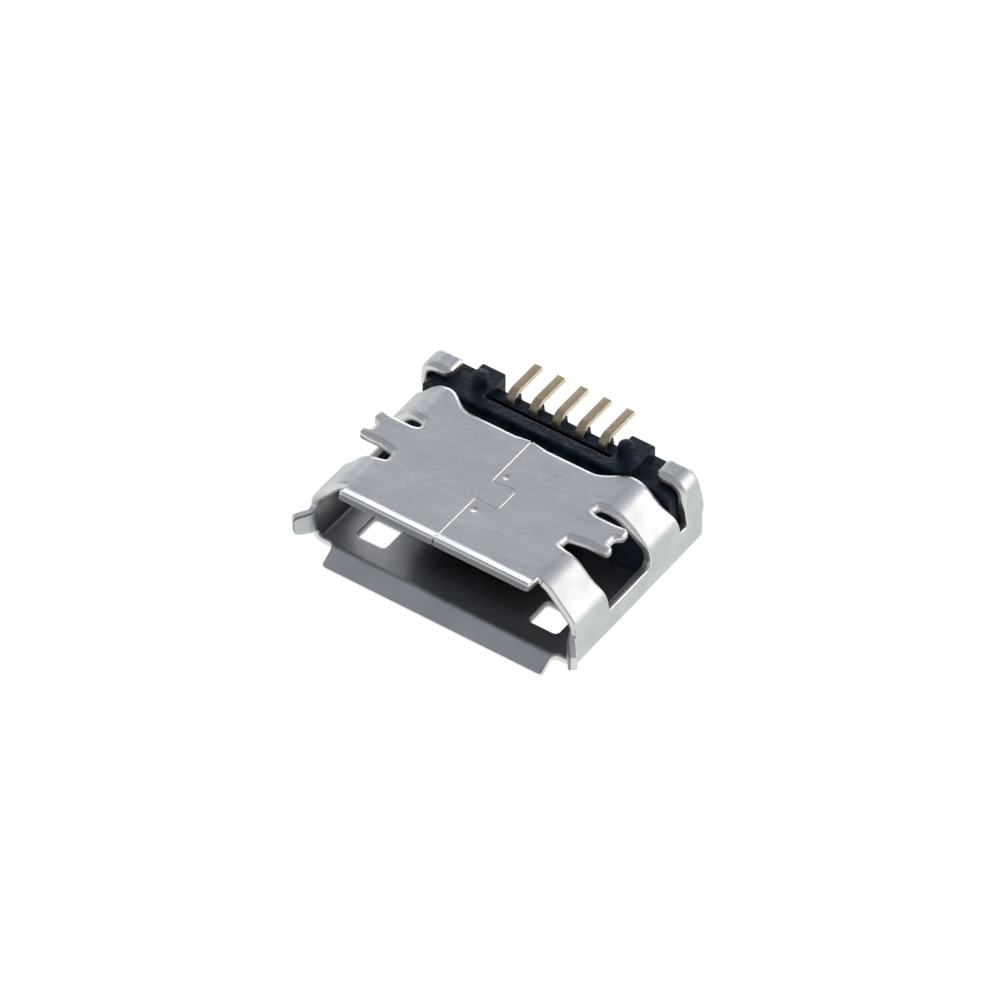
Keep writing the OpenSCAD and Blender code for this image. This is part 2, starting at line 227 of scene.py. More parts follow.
def held_radius(loop: np.ndarray, wanted: np.ndarray) -> np.ndarray:
    """Keep an edge rounding smaller than the outer corners that it runs round.

    Args:
        loop: A closed loop with the material on its left.
        wanted: The rounding wanted at each point.

    Returns:
        The rounding that fits, without sudden steps.
    """
    least_turn, straight, share, slope = 0.02, 9.0, 0.75, 0.012
    before, after = loop - np.roll(loop, 1, 0), np.roll(loop, -1, 0) - loop
    turn = np.arctan2(before[:, 0] * after[:, 1] - before[:, 1] * after[:, 0], (before * after).sum(1))
    length = (np.linalg.norm(before, axis=1) + np.linalg.norm(after, axis=1)) / 2
    radius = np.where(turn > least_turn, length / np.maximum(turn, least_turn), straight)
    fit = np.minimum(wanted, share * radius)
    for shift in (1, 2, 3):
        fit = np.minimum(fit, np.minimum(np.roll(fit, shift), np.roll(fit, -shift)) + slope * shift)
    return (np.roll(fit, 1) + 2 * fit + np.roll(fit, -1)) / 4


def inside(points: np.ndarray, loops: list[np.ndarray]) -> np.ndarray:
    """Test which points lie inside an outline with holes, by counting crossings.

    Args:
        points: The points.
        loops: The outline and its holes.

    Returns:
        True for each point inside.
    """
    result = np.zeros(len(points), bool)
    for loop in loops:
        x0, y0 = loop.T
        x1, y1 = np.roll(x0, -1), np.roll(y0, -1)
        for start in range(0, len(points), CHUNK):
            px, py = points[start:start + CHUNK].T[:, :, None]
            span = (y0 > py) != (y1 > py)
            with np.errstate(divide="ignore", invalid="ignore"):
                cross = px < (x1 - x0) * (py - y0) / (y1 - y0) + x0
            result[start:start + CHUNK] ^= ((span & cross).sum(1) % 2).astype(bool)
    return result


@dataclass
class Stretch:
    """A straight or round part of a folded line, by its start and the way it goes there."""

    since: float
    length: float
    start: np.ndarray
    along: np.ndarray
    radius: float


@dataclass
class FoldPath:
    """A line with round folds, in the plane across the socket. The outside is on its right."""

    corners: list[Point]
    radii: list[float]
    length: float = field(default=0.0, init=False)

    def __post_init__(self) -> None:
        """Split the path into its straight and round parts."""
        self.parts: list[Stretch] = []
        here = np.array(self.corners[0], float)
        for i in range(1, len(self.corners)):
            corner = np.array(self.corners[i], float)
            along = unit(corner - here)
            reach, turn, r = 0.0, 0.0, 0.0
            if i < len(self.corners) - 1:
                after = unit(np.array(self.corners[i + 1], float) - corner)
                turn = math.acos(max(-1.0, min(1.0, float(along @ after))))
                r = self.radii[i - 1]
                reach = r * math.tan(turn / 2)
            self.add(float(np.linalg.norm(corner - here)) - reach, here, along)
            if r > 0:
                self.add(r * turn, corner - along * reach, along, r)
                here = corner + after * reach
        self.folds = [(p.since, p.since + p.length) for p in self.parts if p.radius]

    def add(self, length: float, start: np.ndarray, along: np.ndarray, radius: float = 0.0) -> None:
        """Add a part at the path's end."""
        self.parts.append(Stretch(self.length, length, start, along, radius))
        self.length += length

    def at(self, q: np.ndarray) -> tuple[np.ndarray, np.ndarray]:
        """Find points and outward normals on the path.

        Args:
            q: Distances along the path, which may run past its ends.

        Returns:
            The points and the normals, each as (x, z).
        """
        points, normals = np.zeros((len(q), 2)), np.zeros((len(q), 2))
        for part in self.parts:
            first, last = part is self.parts[0], part is self.parts[-1]
            mask = ((q >= part.since) | first) & ((q < part.since + part.length) | last)
            d = (q[mask] - part.since)[:, None]
            out = np.array([part.along[1], -part.along[0]])
            if part.radius:
                angle = d / part.radius
                direction = out * np.cos(angle) + part.along * np.sin(angle)
                points[mask] = part.start - out * part.radius + direction * part.radius
                normals[mask] = direction
            else:
                points[mask] = part.start + part.along * d
                normals[mask] = out
        return points, normals

    def where_z(self, z: float) -> float:
        """Find the distance along the path at which it reaches a height."""
        q = np.linspace(0, self.length, 4000)
        return float(np.interp(z, self.at(q)[0][:, 1], q))


@dataclass
class View:
    """The camera, at the photograph's angle."""

    azimuth: float = 35.443
    elevation: float = 44.718
    roll: float = -0.499
    distance: float = 200 * MM
    pixels: int = 1000
    pixels_per_mm: float = 43.338
    sensor: float = 36.0
    clip: Point = (0.001, 10.0)
    target: tuple[float, ...] = (-0.1439 * MM, -0.0964 * MM, 1.5051 * MM)

    def build(self) -> None:
        """Make the camera and set it as the scene's own."""
        a, e = math.radians(self.azimuth), math.radians(self.elevation)
        out = Vector((math.sin(a) * math.cos(e), -math.cos(a) * math.cos(e), math.sin(e)))
        data = bpy.data.cameras.new("photo_view")
        data.sensor_width = self.sensor
        data.lens = self.pixels_per_mm * self.sensor * self.distance / MM / self.pixels
        data.clip_start, data.clip_end = self.clip
        turn = out.to_track_quat("Z", "Y").to_matrix() @ Matrix.Rotation(math.radians(self.roll), 3, "Z")
        camera = link_object("photo_view", data)
        camera.matrix_world = Matrix.Translation(Vector(self.target) + out * self.distance) @ turn.to_4x4()
        bpy.context.scene.camera = camera


class Finish:
    """A material under way, with patterns of a real size in the piece's own coordinates."""

    def __init__(self, name: str, patterns: dict[str, tuple]) -> None:
        """Start a material with a noise for each pattern.

        Args:
            name: The material's name.
            patterns: For each pattern the size of its grain in millimetres, its octaves of finer
                grain, and how many times longer the grain is along each axis.
        """
        self.material = bpy.data.materials.new(name)
        self.material.use_nodes = True
        self.tree = self.material.node_tree
        self.shader = self.tree.nodes["Principled BSDF"]
        where = add_node(self.tree, "ShaderNodeTexCoord").outputs["Object"]
        self.noise: dict[str, bpy.types.Node] = {}
        for key, (grain_mm, octaves, stretch) in patterns.items():
            squeeze = tuple(1 / v for v in stretch)
            spot = add_node(self.tree, "ShaderNodeMapping", {"Vector": where, "Scale": squeeze})
            self.noise[key] = add_node(self.tree, "ShaderNodeTexNoise", {
                "Vector": spot, "Scale": 1 / (grain_mm * MM), "Detail": octaves, "Roughness": 0.55})

    def paint(self, lowest: str, layers: list[tuple]) -> None:
        """Colour the surface in layers.

        Args:
            lowest: The colour under them all.
            layers: For each layer what it follows, the span over which it comes in, how much it
                covers at most, and its colour.
        """
        tone: object = linear(lowest)
        for source, (low, high), most, colour in layers:
            share = add_node(self.tree, "ShaderNodeMapRange", {
                "Value": source, "From Min": low, "From Max": high, "To Max": most})
            tone = add_node(self.tree, "ShaderNodeMix", {0: share, 6: tone, 7: linear(colour)},
                            data_type="RGBA").outputs[2]
        set_inputs(self.shader, {"Base Color": tone})

    def roughen(self, roughness: float, parts: list[tuple]) -> None:
        """Make the surface unevenly rough.

        Args:
            roughness: The roughness between the patterns' ends.
            parts: For each pattern what it follows, the span over which it changes, and what it
                adds at both ends of that.
        """
        total: object = roughness
        for source, (low, high), (least, most) in parts:
            part = add_node(self.tree, "ShaderNodeMapRange", {
                "Value": source, "From Min": low, "From Max": high, "To Min": least, "To Max": most})
            total = add_node(self.tree, "ShaderNodeMath", {0: total, 1: part}, operation="ADD")
        set_inputs(self.shader, {"Roughness": total})

    def raise_relief(self, layers: list[tuple[str, float, float]]) -> None:
        """Give the surface its fine relief, as bumps on bumps.

        Args:
            layers: For each layer its pattern, its height in millimetres and its strength.
        """
        relief: dict = {}
        for key, height_mm, strength in layers:
            relief = {"Normal": add_node(self.tree, "ShaderNodeBump", {
                "Height": self.noise[key], "Distance": height_mm * MM, "Strength": strength} | relief)}
        set_inputs(self.shader, relief)


@dataclass(frozen=True)
class PlatedSteel:
    """Steel strip, rolled, nickel plated and then stamped.

    Rolling leaves faint fine lines along the strip, and the plating a satin grain with slow
    clouds in it. Real lines and grain are finer, and these are as coarse as they need to show. A
    cut edge has a bright land that the punch has burnished, and below it a duller, torn wall. The
    rounded or bevelled rim above the land is painted in the land's bright colour as well, a painted
    highlight that brightens the rim's reflection.
    """

    colour: str = "dddee1"
    cloud: str = "d0d2d6"
    land: str = "efefef"
    torn: str = "a4a5a9"
    roughness: float = 0.36
    torn_roughness: float = 0.5
    cloud_mm: float = 0.9
    grain_mm: float = 0.07
    line_mm: float = 0.05

    def build(self) -> bpy.types.Material:
        """Make the material.

        Returns:
            The material.
        """
        finish = Finish("nickel_plated_rolled_steel", {
            "cloud": (self.cloud_mm, 3.0, EVEN),
            "grain": (self.grain_mm, 3.0, EVEN),
            "lines": (self.line_mm, 2.0, (1.0, 30.0, 1.0))})
        cut = add_node(finish.tree, "ShaderNodeAttribute", attribute_name="cut").outputs["Fac"]
        # The land's bright colour covers the burnished land and also the rounded rim above it; on the rim it
        # is a painted highlight.
        on_land_and_painted_rim, on_wall = (0.25, 0.26), (0.75, 0.76)
        cloud, grain = finish.noise["cloud"], finish.noise["grain"]
        finish.paint(self.colour, [(cloud, (0.35, 0.65), 1.0, self.cloud), (cut, on_land_and_painted_rim, 1.0, self.land),
                                   (cut, on_wall, 1.0, self.torn)])
        finish.roughen(self.roughness, [(cloud, MOST, (-0.03, 0.05)), (grain, MOST, (-0.015, 0.015)),
                                        (cut, on_wall, (0.0, self.torn_roughness - self.roughness))])
        finish.raise_relief([("grain", 0.0035, 0.55), ("lines", 0.0015, 0.4), ("cloud", 0.026, 0.6)])
        set_inputs(finish.shader, {"Metallic": 1.0})
        return finish.material


@dataclass(frozen=True)
class MouldedPlastic:
    """Black glass-filled nylon, injection moulded.

    The fibres just under the skin leave a fine uneven grain and paler specks, drawn coarser than
    the real ones so that they show. The mould's flow leaves soft clouds, so the black is a little
    blue and never even.
    """

    colour: str = "0d1219"
    cloud: str = "262f3f"
    speck: str = "46525f"
    sheen: str = "c6dbf4"
    roughness: float = 0.42
    ior: float = 1.53
    specular: float = 0.3
    cloud_mm: float = 0.32
    flow_mm: float = 0.13
    grain_mm: float = 0.05

    def build(self) -> bpy.types.Material:
        """Make the material.

        Returns:
            The material.
        """
        finish = Finish("moulded_glass_filled_nylon", {
            "cloud": (self.cloud_mm, 4.0, EVEN),
            "ripple": (self.flow_mm, 2.0, EVEN),
            "grain": (self.grain_mm, 3.0, EVEN),
            "fibre": (self.grain_mm, 1.0, (1.0, 4.0, 1.0))})
        cloud, grain, fibre = (finish.noise[key] for key in ("cloud", "grain", "fibre"))
        finish.paint(self.colour, [(cloud, (0.35, 0.65), 1.0, self.cloud),
                                   (fibre, (0.58, 0.82), 0.45, self.speck)])
        finish.roughen(self.roughness, [(cloud, MOST, (-0.08, 0.1)), (grain, MOST, (-0.06, 0.06))])
        finish.raise_relief([("grain", 0.01, 0.7), ("ripple", 0.02, 0.8), ("cloud", 0.06, 0.7)])
        set_inputs(finish.shader, {"IOR": self.ior, "Specular IOR Level": self.specular,
                                   "Specular Tint": linear(self.sheen)})
        return finish.material


@dataclass(frozen=True)
class FlashedCopper:
    """Copper alloy strip with a thin gold flash, stamped from the side.

    The flash dulls the alloy to a greyish straw colour with small darker pits. The sheared sides
    are paler. Fine lines run along the strip, drawn coarser than the real ones so that they show.
    """

    colour: str = "d8c7ac"
    dull: str = "bfad92"
    shear: str = "efe6d4"
    pit: str = "8d7c62"
    roughness: float = 0.42
    cloud_mm: float = 0.4
    line_mm: float = 0.03
    pit_mm: float = 0.05

    def build(self) -> bpy.types.Material:
        """Make the material.

        Returns:
            The material.
        """
        finish = Finish("gold_flashed_copper_alloy_strip", {
            "cloud": (self.cloud_mm, 4.0, EVEN),
            "lines": (self.line_mm, 2.0, (1.0, 16.0, 16.0)),
            "pits": (self.pit_mm, 2.0, EVEN)})
        facing = add_node(finish.tree, "ShaderNodeNewGeometry").outputs["Normal"]
        across = add_node(finish.tree, "ShaderNodeSeparateXYZ", {0: facing})
        sideways = add_node(finish.tree, "ShaderNodeMath", {0: across}, operation="ABSOLUTE")
        cloud, pits = finish.noise["cloud"], finish.noise["pits"]
        finish.paint(self.colour, [(cloud, MOST, 1.0, self.dull), (sideways, (0.5, 0.9), 1.0, self.shear),
                                   (pits, (0.45, 0.75), 0.35, self.pit)])
        finish.roughen(self.roughness, [(cloud, MOST, (-0.06, 0.08))])
        finish.raise_relief([("lines", 0.002, 0.5)])
        set_inputs(finish.shader, {"Metallic": 1.0})
        return finish.material


class Side(Enum):
    """The two sides of the shell."""

    RIGHT = 1
    LEFT = -1


@dataclass
class Placing:
    """Where the mouth's plane and the wide plate lie in the shared frame, by two ends of the CAD model."""

    foot_end: float = 5.7
    peg_top: float = 2.77

    def __post_init__(self) -> None:
        """Find the place from the end of the feet and the top of the pegs."""
        self.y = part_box("contact_power")[1].y / MM - self.foot_end
        self.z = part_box("housing")[1].z / MM - self.peg_top

    def metres(self, points: np.ndarray) -> np.ndarray:
        """Move points in millimetres into the frame and turn them to metres."""
        return (points + np.array([0.0, self.y, self.z])) * MM


@dataclass(frozen=True)
class Flange:
    """An edge of the mouth that flares outwards."""

    width: float
    length: float
    degrees: float
    bend_r: float

    def flat(self) -> float:
        """Find how much flat sheet the flange takes, bend included."""
        turn = math.radians(self.degrees)
        return self.bend_r * turn + self.length - 2 * self.bend_r * math.tan(turn / 2)


@dataclass
class SheetForm:
    """A mesh under way. Its faces know whether they lie on the skin or in a cut edge."""

    points: list[np.ndarray] = field(default_factory=list)
    normals: list[np.ndarray] = field(default_factory=list)
    faces: list[tuple[int, ...]] = field(default_factory=list)
    cut: list[float] = field(default_factory=list)
    count: int = 0

    def add(self, points: np.ndarray, normals: np.ndarray) -> np.ndarray:
        """Add points with their normals.

        Args:
            points: The points, in millimetres.
            normals: Their normals.

        Returns:
            Their numbers.
        """
        self.points.append(points)
        self.normals.append(normals)
        self.count += len(points)
        return np.arange(self.count - len(points), self.count)

    def band(self, upper: np.ndarray, lower: np.ndarray, cut: float) -> None:
        """Join two rings of points with faces.

        Args:
            upper: The numbers of one ring.
            lower: The numbers of the ring below it.
            cut: 0.0 for skin, 0.5 for the bright land and for the rounded rim that is painted in
                the land's colour as a painted highlight, and 1.0 for the torn wall.
        """
        for i, j in zip(range(len(upper)), np.roll(range(len(upper)), -1)):
            self.faces.append((int(upper[i]), int(upper[j]), int(lower[j]), int(lower[i])))
            self.cut.append(cut)

    def mesh(self, name: str, placing: Placing) -> bpy.types.Mesh:
        """Finish the mesh.

        Args:
            name: The mesh's name.
            placing: Where it lies in the frame.

        Returns:
            The mesh, in metres.
        """
        mesh = bpy.data.meshes.new(name)
        mesh.from_pydata(placing.metres(np.concatenate(self.points)).tolist(), [], self.faces)
        mesh.attributes.new("cut", "FLOAT", "FACE").data.foreach_set("value", self.cut)
        mesh.validate()
        mesh.polygons.foreach_set("use_smooth", [True] * len(mesh.polygons))
        mesh.normals_split_custom_set_from_vertices(np.concatenate(self.normals).tolist())
        mesh.update()
        return mesh


@dataclass
class FoldedShell:
    """The shell: one stamped sheet, cut as a flat blank and then folded round the mouth.

    A point of the blank is (b, y): b is the distance across it from the middle of the wide plate,
    with the seam at both ends, and y the distance from the mouth. In the names of sizes x is the
    distance from the socket's middle, z the height above the wide plate, and r a radius.
    """

    thick: float = 0.22
    mouth_w: float = 7.05
    mouth_h: float = 1.93
    top_w: float = 5.8
    wall_h: float = 1.38
    top_len: float = 3.58
    shoulder_len: float = 0.42
    shoulders: Point = (1.7, 2.6)
    wall_len: float = 5.1
    fold_r: tuple[float, ...] = (0.33, 0.6, 0.72)
    lip: Flange = Flange(6.16, 0.56, 31.0, 0.25)
    brim: Flange = Flange(5.3, 0.33, 26.0, 0.4)
    brim_flat: float = 0.1
    ear: Flange = Flange(0.52, 0.57, 40.0, 0.25)
    ear_z: float = 0.45
    tab_y: float = 4.34
    tab_gap: float = 5.76
    tab_r: float = 0.34
    slot_depth: float = 1.39
    slot_w: float = 0.28
    slot_x: float = 2.44
    wing_y: float = 1.57
    wing_len: float = 0.91
    wing_tip: float = 3.49
    wing_root: float = 2.3
    wing_front: float = 2.9
    notch_share: float = 0.45
    window_y: Point = (1.17, 2.72)
    window_depth: float = 1.5
    latch_x: Point = (2.03, 2.83)
    latch_y: Point = (0.5, 1.28)
    latch_r: tuple[float, ...] = (0.12, 0.12, 0.09, 0.09)
    seam_gap: float = 0.004
    dovetail_y: Point = (1.26, 2.06)
    dovetail_reach: float = 0.65
    dovetail_flare: float = 0.08
    edge_out: float = 0.15
    edge_mouth: float = 0.05
    edge_seam: float = 0.022
    edge_in: float = 0.03
    wall_edge: Point = (4.9, 5.3)
    roll: float = 0.8
    land: float = 0.045
    mouth_land: float = 0.12
    mouth_zone: float = 0.3
    stakes: tuple[Point, ...] = ((0.19, 0.99), (0.19, 2.27))
    stake_r: float = 0.12
    stake_depth: float = 0.026
    spring_rise: float = 0.016
    spring_reach: float = 0.9
    wave: float = 0.0012
    waves: tuple[tuple[float, ...], ...] = ((1.0, 1.7, 0.9, 0.4), (0.7, -1.3, 2.9, 1.1), (0.5, 4.1, 2.3, 0.0))
    outline_step: float = 0.06
    fold_step: float = 0.045
    across_step: float = 0.14
    placing: Placing = field(default_factory=Placing)

    def __post_init__(self) -> None:
        """Lay out the folded section at the middle of the sheet."""
        t = self.thick
        half = self.mouth_w / 2 + t
        self.height = self.mouth_h + 2 * t
        outer = [np.array(p, float) for p in
                 ((0, 0), (half, 0), (half, self.wall_h), (self.top_w / 2, self.height), (0, self.height))]
        middle = [(0.0, t / 2)]
        for i in range(1, len(outer) - 1):
            a, b = unit(outer[i] - outer[i - 1]), unit(outer[i + 1] - outer[i])
            a, b = np.array([-a[1], a[0]]), np.array([-b[1], b[0]])
            p = outer[i] + t / 2 * (a + b) / (1 + a @ b)
            middle.append((float(p[0]), float(p[1])))
        wall, top = half - t / 2, self.height - t / 2
        middle.append((0.0, top))
        self.section = FoldPath(middle, [r - t / 2 for r in self.fold_r])
        self.slot_z = self.height - self.slot_depth
        self.slot_q = self.section.where_z(self.slot_z)
        self.tab = FoldPath([(wall, self.slot_z), (wall, top), (self.tab_gap / 2, top)], [self.tab_r])

    def bump(self, b: np.ndarray, y: np.ndarray) -> np.ndarray:
        """Find how far the sheet stands off its ideal surface.

        Stamping leaves slow waves in it, and two punch marks beside the seam stake the dovetail.
        The plate with the seam also springs up a little towards its brim.

        Args:
            b: Distances across the blank.
            y: Distances along it.

        Returns:
            Heights in millimetres.
        """
        fade = 0.4
        height = np.zeros(len(b))
        for share, across, lengthwise, phase in self.waves:
            height = height + self.wave * share * np.sin(across * b + lengthwise * y + phase)
        on_plate = np.clip((np.abs(b) - self.section.length + self.top_w / 2) / fade, 0.0, 1.0)
        height = height + self.spring_rise * on_plate * np.exp(-(np.maximum(y, 0.0) / self.spring_reach) ** 2)
        for x, along in self.stakes:
            away = np.hypot(b - self.section.length + x, y - along) / self.stake_r
            height = height - self.stake_depth * (1 + np.cos(np.pi * np.minimum(away, 1.0))) / 2
        return height

    def place(self, b: np.ndarray, y: np.ndarray) -> tuple[np.ndarray, np.ndarray]:
        """Fold points of the blank into the shell.

        Args:
            b: Distances across the blank.
            y: Distances along it.

        Returns:
            Points at the middle of the sheet and outward normals.
        """
        before, behind, past_wall, slack, lip_side, brim_side = 0.15, 0.03, 5.0, 0.09, 0.2, 0.3
        side = np.where(b < 0, -1.0, 1.0)
        q, total = np.abs(b), self.section.length
        base, normal = self.section.at(q)
        on_wing = ((y > self.wing_y - before) & (y < self.wing_y + self.wing_len + behind)
                   & (q > past_wall) & (q < total - self.wing_root))
        base[on_wing, 0] = total - q[on_wing]
        base[on_wing, 1] = self.height - self.thick / 2
        normal[on_wing] = (0.0, 1.0)
        on_tab = (y > self.tab_y - slack) & (q > self.slot_q)
        if on_tab.any():
            base[on_tab], normal[on_tab] = self.tab.at(q[on_tab] - self.slot_q)
        lip, ear, brim = self.lip, self.ear, self.brim
        on_brim = q >= total - brim.width / 2 - brim_side
        where = [q < lip.width / 2 + lip_side, on_brim]
        turn = np.radians(np.select(where, [lip.degrees, brim.degrees], ear.degrees))
        radius = np.select(where, [lip.bend_r, brim.bend_r], ear.bend_r)
        flat = np.where(on_brim, np.clip(-y, 0.0, self.brim_flat), 0.0)
        d = np.maximum(-y, 0.0) - flat
        bend = np.minimum(d / radius, turn)
        rest = d - bend * radius
        ahead = flat + radius * np.sin(bend) + rest * np.cos(bend)
        out = radius * (1 - np.cos(bend)) + rest * np.sin(bend)
        x = base[:, 0] + normal[:, 0] * out
        z = base[:, 1] + normal[:, 1] * out
        points = np.stack([x * side, np.where(y < 0, -ahead, y), z], 1)
        normals = np.stack([normal[:, 0] * side * np.cos(bend), np.sin(bend), normal[:, 1] * np.cos(bend)], 1)
        return points, normals

    def surface(self, uv: np.ndarray) -> tuple[np.ndarray, np.ndarray]:
        """Find points and true normals of the sheet's middle, waves included.

        Args:
            uv: Points of the blank.

        Returns:
            Points and outward normals.
        """
        def shaped(b: np.ndarray, y: np.ndarray) -> np.ndarray:
            """Fold points of the blank and add the waves."""
            p, n = self.place(b, y)
            return p + n * self.bump(b, y)[:, None]

        b, y, step = uv[:, 0], uv[:, 1], 0.002
        _, rough = self.place(b, y)
        across = shaped(b + step, y) - shaped(b - step, y)
        along = shaped(b, y + step) - shaped(b, y - step)
        normal = unit(np.cross(across, along))
        flip = np.sign((normal * rough).sum(1))
        return shaped(b, y), normal * np.where(flip == 0, 1, flip)[:, None]

    def seam(self, side: Side, brim_y: float) -> list[Corner]:
        """Lay out one side of the seam, with its dovetail, from the brim to the rear.

        Args:
            side: Which end of the blank.
            brim_y: The brim's edge.

        Returns:
            Its corners, as if that end of the blank were on the right.
        """
        total, shift = self.section.length, side.value * self.seam_gap / 2
        (front, back), flare = self.dovetail_y, self.dovetail_flare
        end, x0, x1 = total - self.seam_gap / 2, shift, self.dovetail_reach + shift
        end_r, root_r, tip_r = 0.055, 0.05, 0.12
        tail = [(x0, front + flare - shift, root_r), (x1, front - shift, tip_r), (x1, back + shift, tip_r),
                (x0, back - flare + shift, root_r)]
        return [(end, brim_y, end_r), *((total - side.value * x, y, r) for x, y, r in tail),
                (end, self.top_len, end_r)]

    def outline(self) -> list[Corner]:
        """Lay out the blank's outer edge, anticlockwise from the middle of the lower lip.

        Beside the named sizes stand how far a corner is drawn past them, and its radius.

        Returns:
            The corners, each with its radius.
        """
        total, z = self.section.length, self.section.where_z
        lip_x, brim_x = self.lip.width / 2, total - self.brim.width / 2
        lip_y, ear_y, brim_y = -self.lip.flat(), -self.ear.flat(), -self.brim_flat - self.brim.flat()
        low, high = self.ear_z, self.ear_z + self.ear.width
        front = [(lip_x, lip_y, 0.08), (lip_x, 0.0, 0.17), (z(low - 0.04), 0.0, 0.1), (z(low), ear_y, 0.13),
                 (z(high), ear_y, 0.13), (z(high + 0.08), 0.0, 0.16), (brim_x - 0.12, 0.0, 0.04),
                 (brim_x - 0.07, 0.03, 0.03), (brim_x, 0.03, 0.03), (brim_x, brim_y, 0.1)]
        rear: list[Corner] = []
        first, last = self.shoulders
        inner_x, outer_x, steps = 0.5, self.top_w / 2 + 0.1, 22
        for x in np.linspace(inner_x, outer_x, steps):
            share = min(max((x - first) / (last - first), 0.0), 1.0)
            fall = self.shoulder_len * (1 - math.cos(math.pi * share)) / 2
            rear.append((total - float(x), self.top_len + fall, 0.0))
        panel = self.top_len + self.shoulder_len
        slot_y = self.tab_y - 0.15
        q0, tip, end = self.slot_q, self.slot_q + self.tab.length, self.wall_len
        lean = q0 + self.tab.where_z(self.height - 0.6)
        rear += [(z(self.wall_h + 0.2), panel + 0.08, 0.3), (z(self.slot_z + 0.02), slot_y, 0.05),
                 (q0, slot_y + self.slot_w, 0.04), (lean, self.tab_y, 0.3), (tip, self.tab_y, 0.17),
                 (tip, end - 0.12, 0.17), (q0 + 1.1, end - 0.1, 0.4), (q0 + 0.1, end + 0.06, 0.3),
                 (q0 - 0.06, end, 0.1)]
        right, left = ([*front, *self.seam(side, brim_y), *rear] for side in Side)
        return right + [(-b, y, r) for b, y, r in reversed(left)]

    def side_window(self) -> list[Corner]:
        """Lay out the window beside a wing, with the wing standing into it.

        Beside the named sizes stand how far a corner is drawn past them, and its radius.

        Returns:
            The corners, each with its radius.
        """
        total, z = self.section.length, self.section.where_z
        front, rear = self.window_y
        low = self.height - self.window_depth
        start, end = self.wing_y, self.wing_y + self.wing_len
        notch = start + self.notch_share * self.wing_len
        root, tip = total - self.slot_x, total - self.wing_tip
        neck = tip + 0.16
        return [(root, front + 0.05, 0.06), (root - 0.2, front, 0.1), (z(low + 0.75), front + 0.03, 0.5),
                (z(low + 0.4), front + 0.08, 0.3), (z(low), front + 0.14, 0.04), (z(low), rear + 0.27, 0.18),
                (z(low + 0.5), rear + 0.24, 0.4), (z(self.height - 0.12), rear + 0.03, 0.4),
                (root - 0.05, rear, 0.06), (root, end + 0.05, 0.06), (root - 0.15, end, 0.1),
                (tip, end, 0.13), (tip, notch + 0.22, 0.1), (neck, notch + 0.1, 0.1),
                (neck, notch - 0.13, 0.1), (tip, notch - 0.21, 0.1), (tip, start, 0.13),
                (total - self.wing_front, start, 0.1), (root - 0.03, start - 0.08, 0.06)]

    def loops(self) -> list[np.ndarray]:
        """Lay out every cut of the blank, each with the material on its left.

        Returns:
            The outer edge, then the holes.
        """
        out = [resample(round_corners(self.outline()), self.outline_step)]
        latch = [(*p, r) for p, r in zip(rectangle(self.latch_x, self.latch_y), self.latch_r)]
        for corners in (self.side_window(), latch):
            for side in Side:
                hole = [(side.value * x, y) for x, y in round_corners(corners)]
                out.append(resample(hole, self.outline_step))
        for i, loop in enumerate(out):
            x, y = loop.T
            area = (x * np.roll(y, -1) - y * np.roll(x, -1)).sum()
            if (area > 0) == (i > 0):
                out[i] = loop[::-1].copy()
        return out

    def rounding(self, loop: np.ndarray) -> np.ndarray:
        """Find how round the outer edge is along a loop.

        Args:
            loop: A closed loop of the blank.

        Returns:
            The width of the rounding: the seam is pressed nearly shut, and the punch leaves less
            round edges on the mouth, the wide plate and the walls than on the plate with the seam.
        """
        b, y = np.abs(loop[:, 0]), loop[:, 1]
        behind_ears = 1.0
        share = np.where((y < self.mouth_zone) | (b < self.mouth_w / 2), 0.0, 1.0)
        low, high = self.wall_edge
        on_wall = (y > behind_ears) & (b < high)
        share = np.where(on_wall, np.clip((b - low) / (high - low), 0.0, 1.0), share)
        size = self.edge_mouth + (self.edge_out - self.edge_mouth) * share
        return np.where(self.on_seam(loop), self.edge_seam, size)

    def on_seam(self, loop: np.ndarray) -> np.ndarray:
        """Find which points of a loop lie on the seam, where the edges are coined to a bevel.

        Args:
            loop: A closed loop of the blank.

        Returns:
            True for each point on the seam.
        """
        x, y = self.section.length - np.abs(loop[:, 0]), loop[:, 1]
        (front, back), near, brim_end = self.dovetail_y, 0.1, 0.36
        on_tail = (y > front - near) & (y < back + near) & (x < self.dovetail_reach + near)
        return on_tail | ((x < near / 2) & (y < self.top_len - near / 2) & (y > -brim_end))

    def burnished(self, loop: np.ndarray) -> np.ndarray:
        """Find how high the bright land is along a loop: higher on the mouth, but not on the brim.

        Args:
            loop: A closed loop of the blank.

        Returns:
            The land's height at each point.
        """
        x, y = self.section.length - np.abs(loop[:, 0]), loop[:, 1]
        beside_brim = x > self.brim.width / 2 + 0.03
        return np.where((y < self.mouth_zone) & beside_brim, self.mouth_land, self.land)

    def grid(self, edges: np.ndarray, loops: list[np.ndarray]) -> np.ndarray:
        """Fill the blank with points, closer together across the folds.

        Args:
            edges: Every point of the loops that bound the flat skins.
            loops: Those loops.

        Returns:
            The points inside.
        """
        total = self.section.length
        past_end, in_fold, in_tab_fold, in_ring, clear = 0.8, 5, 12, 18, 0.025
        marks = {0.0, total + past_end}
        for start, end in self.section.folds:
            parts = max(in_fold, round((end - start) / self.fold_step))
            marks |= {float(v) for v in np.linspace(start, end, parts)}
        for start, end in self.tab.folds:
            marks |= {float(v) for v in np.linspace(self.slot_q + start, self.slot_q + end, in_tab_fold)}
        stops = sorted(marks)
        cross: set[float] = set()
        for a, b in zip(stops, stops[1:]):
            parts = max(1, round((b - a) / self.across_step))
            cross |= {round(a + (b - a) * k / parts, 4) for k in range(parts)}
        cross |= {-v for v in cross}
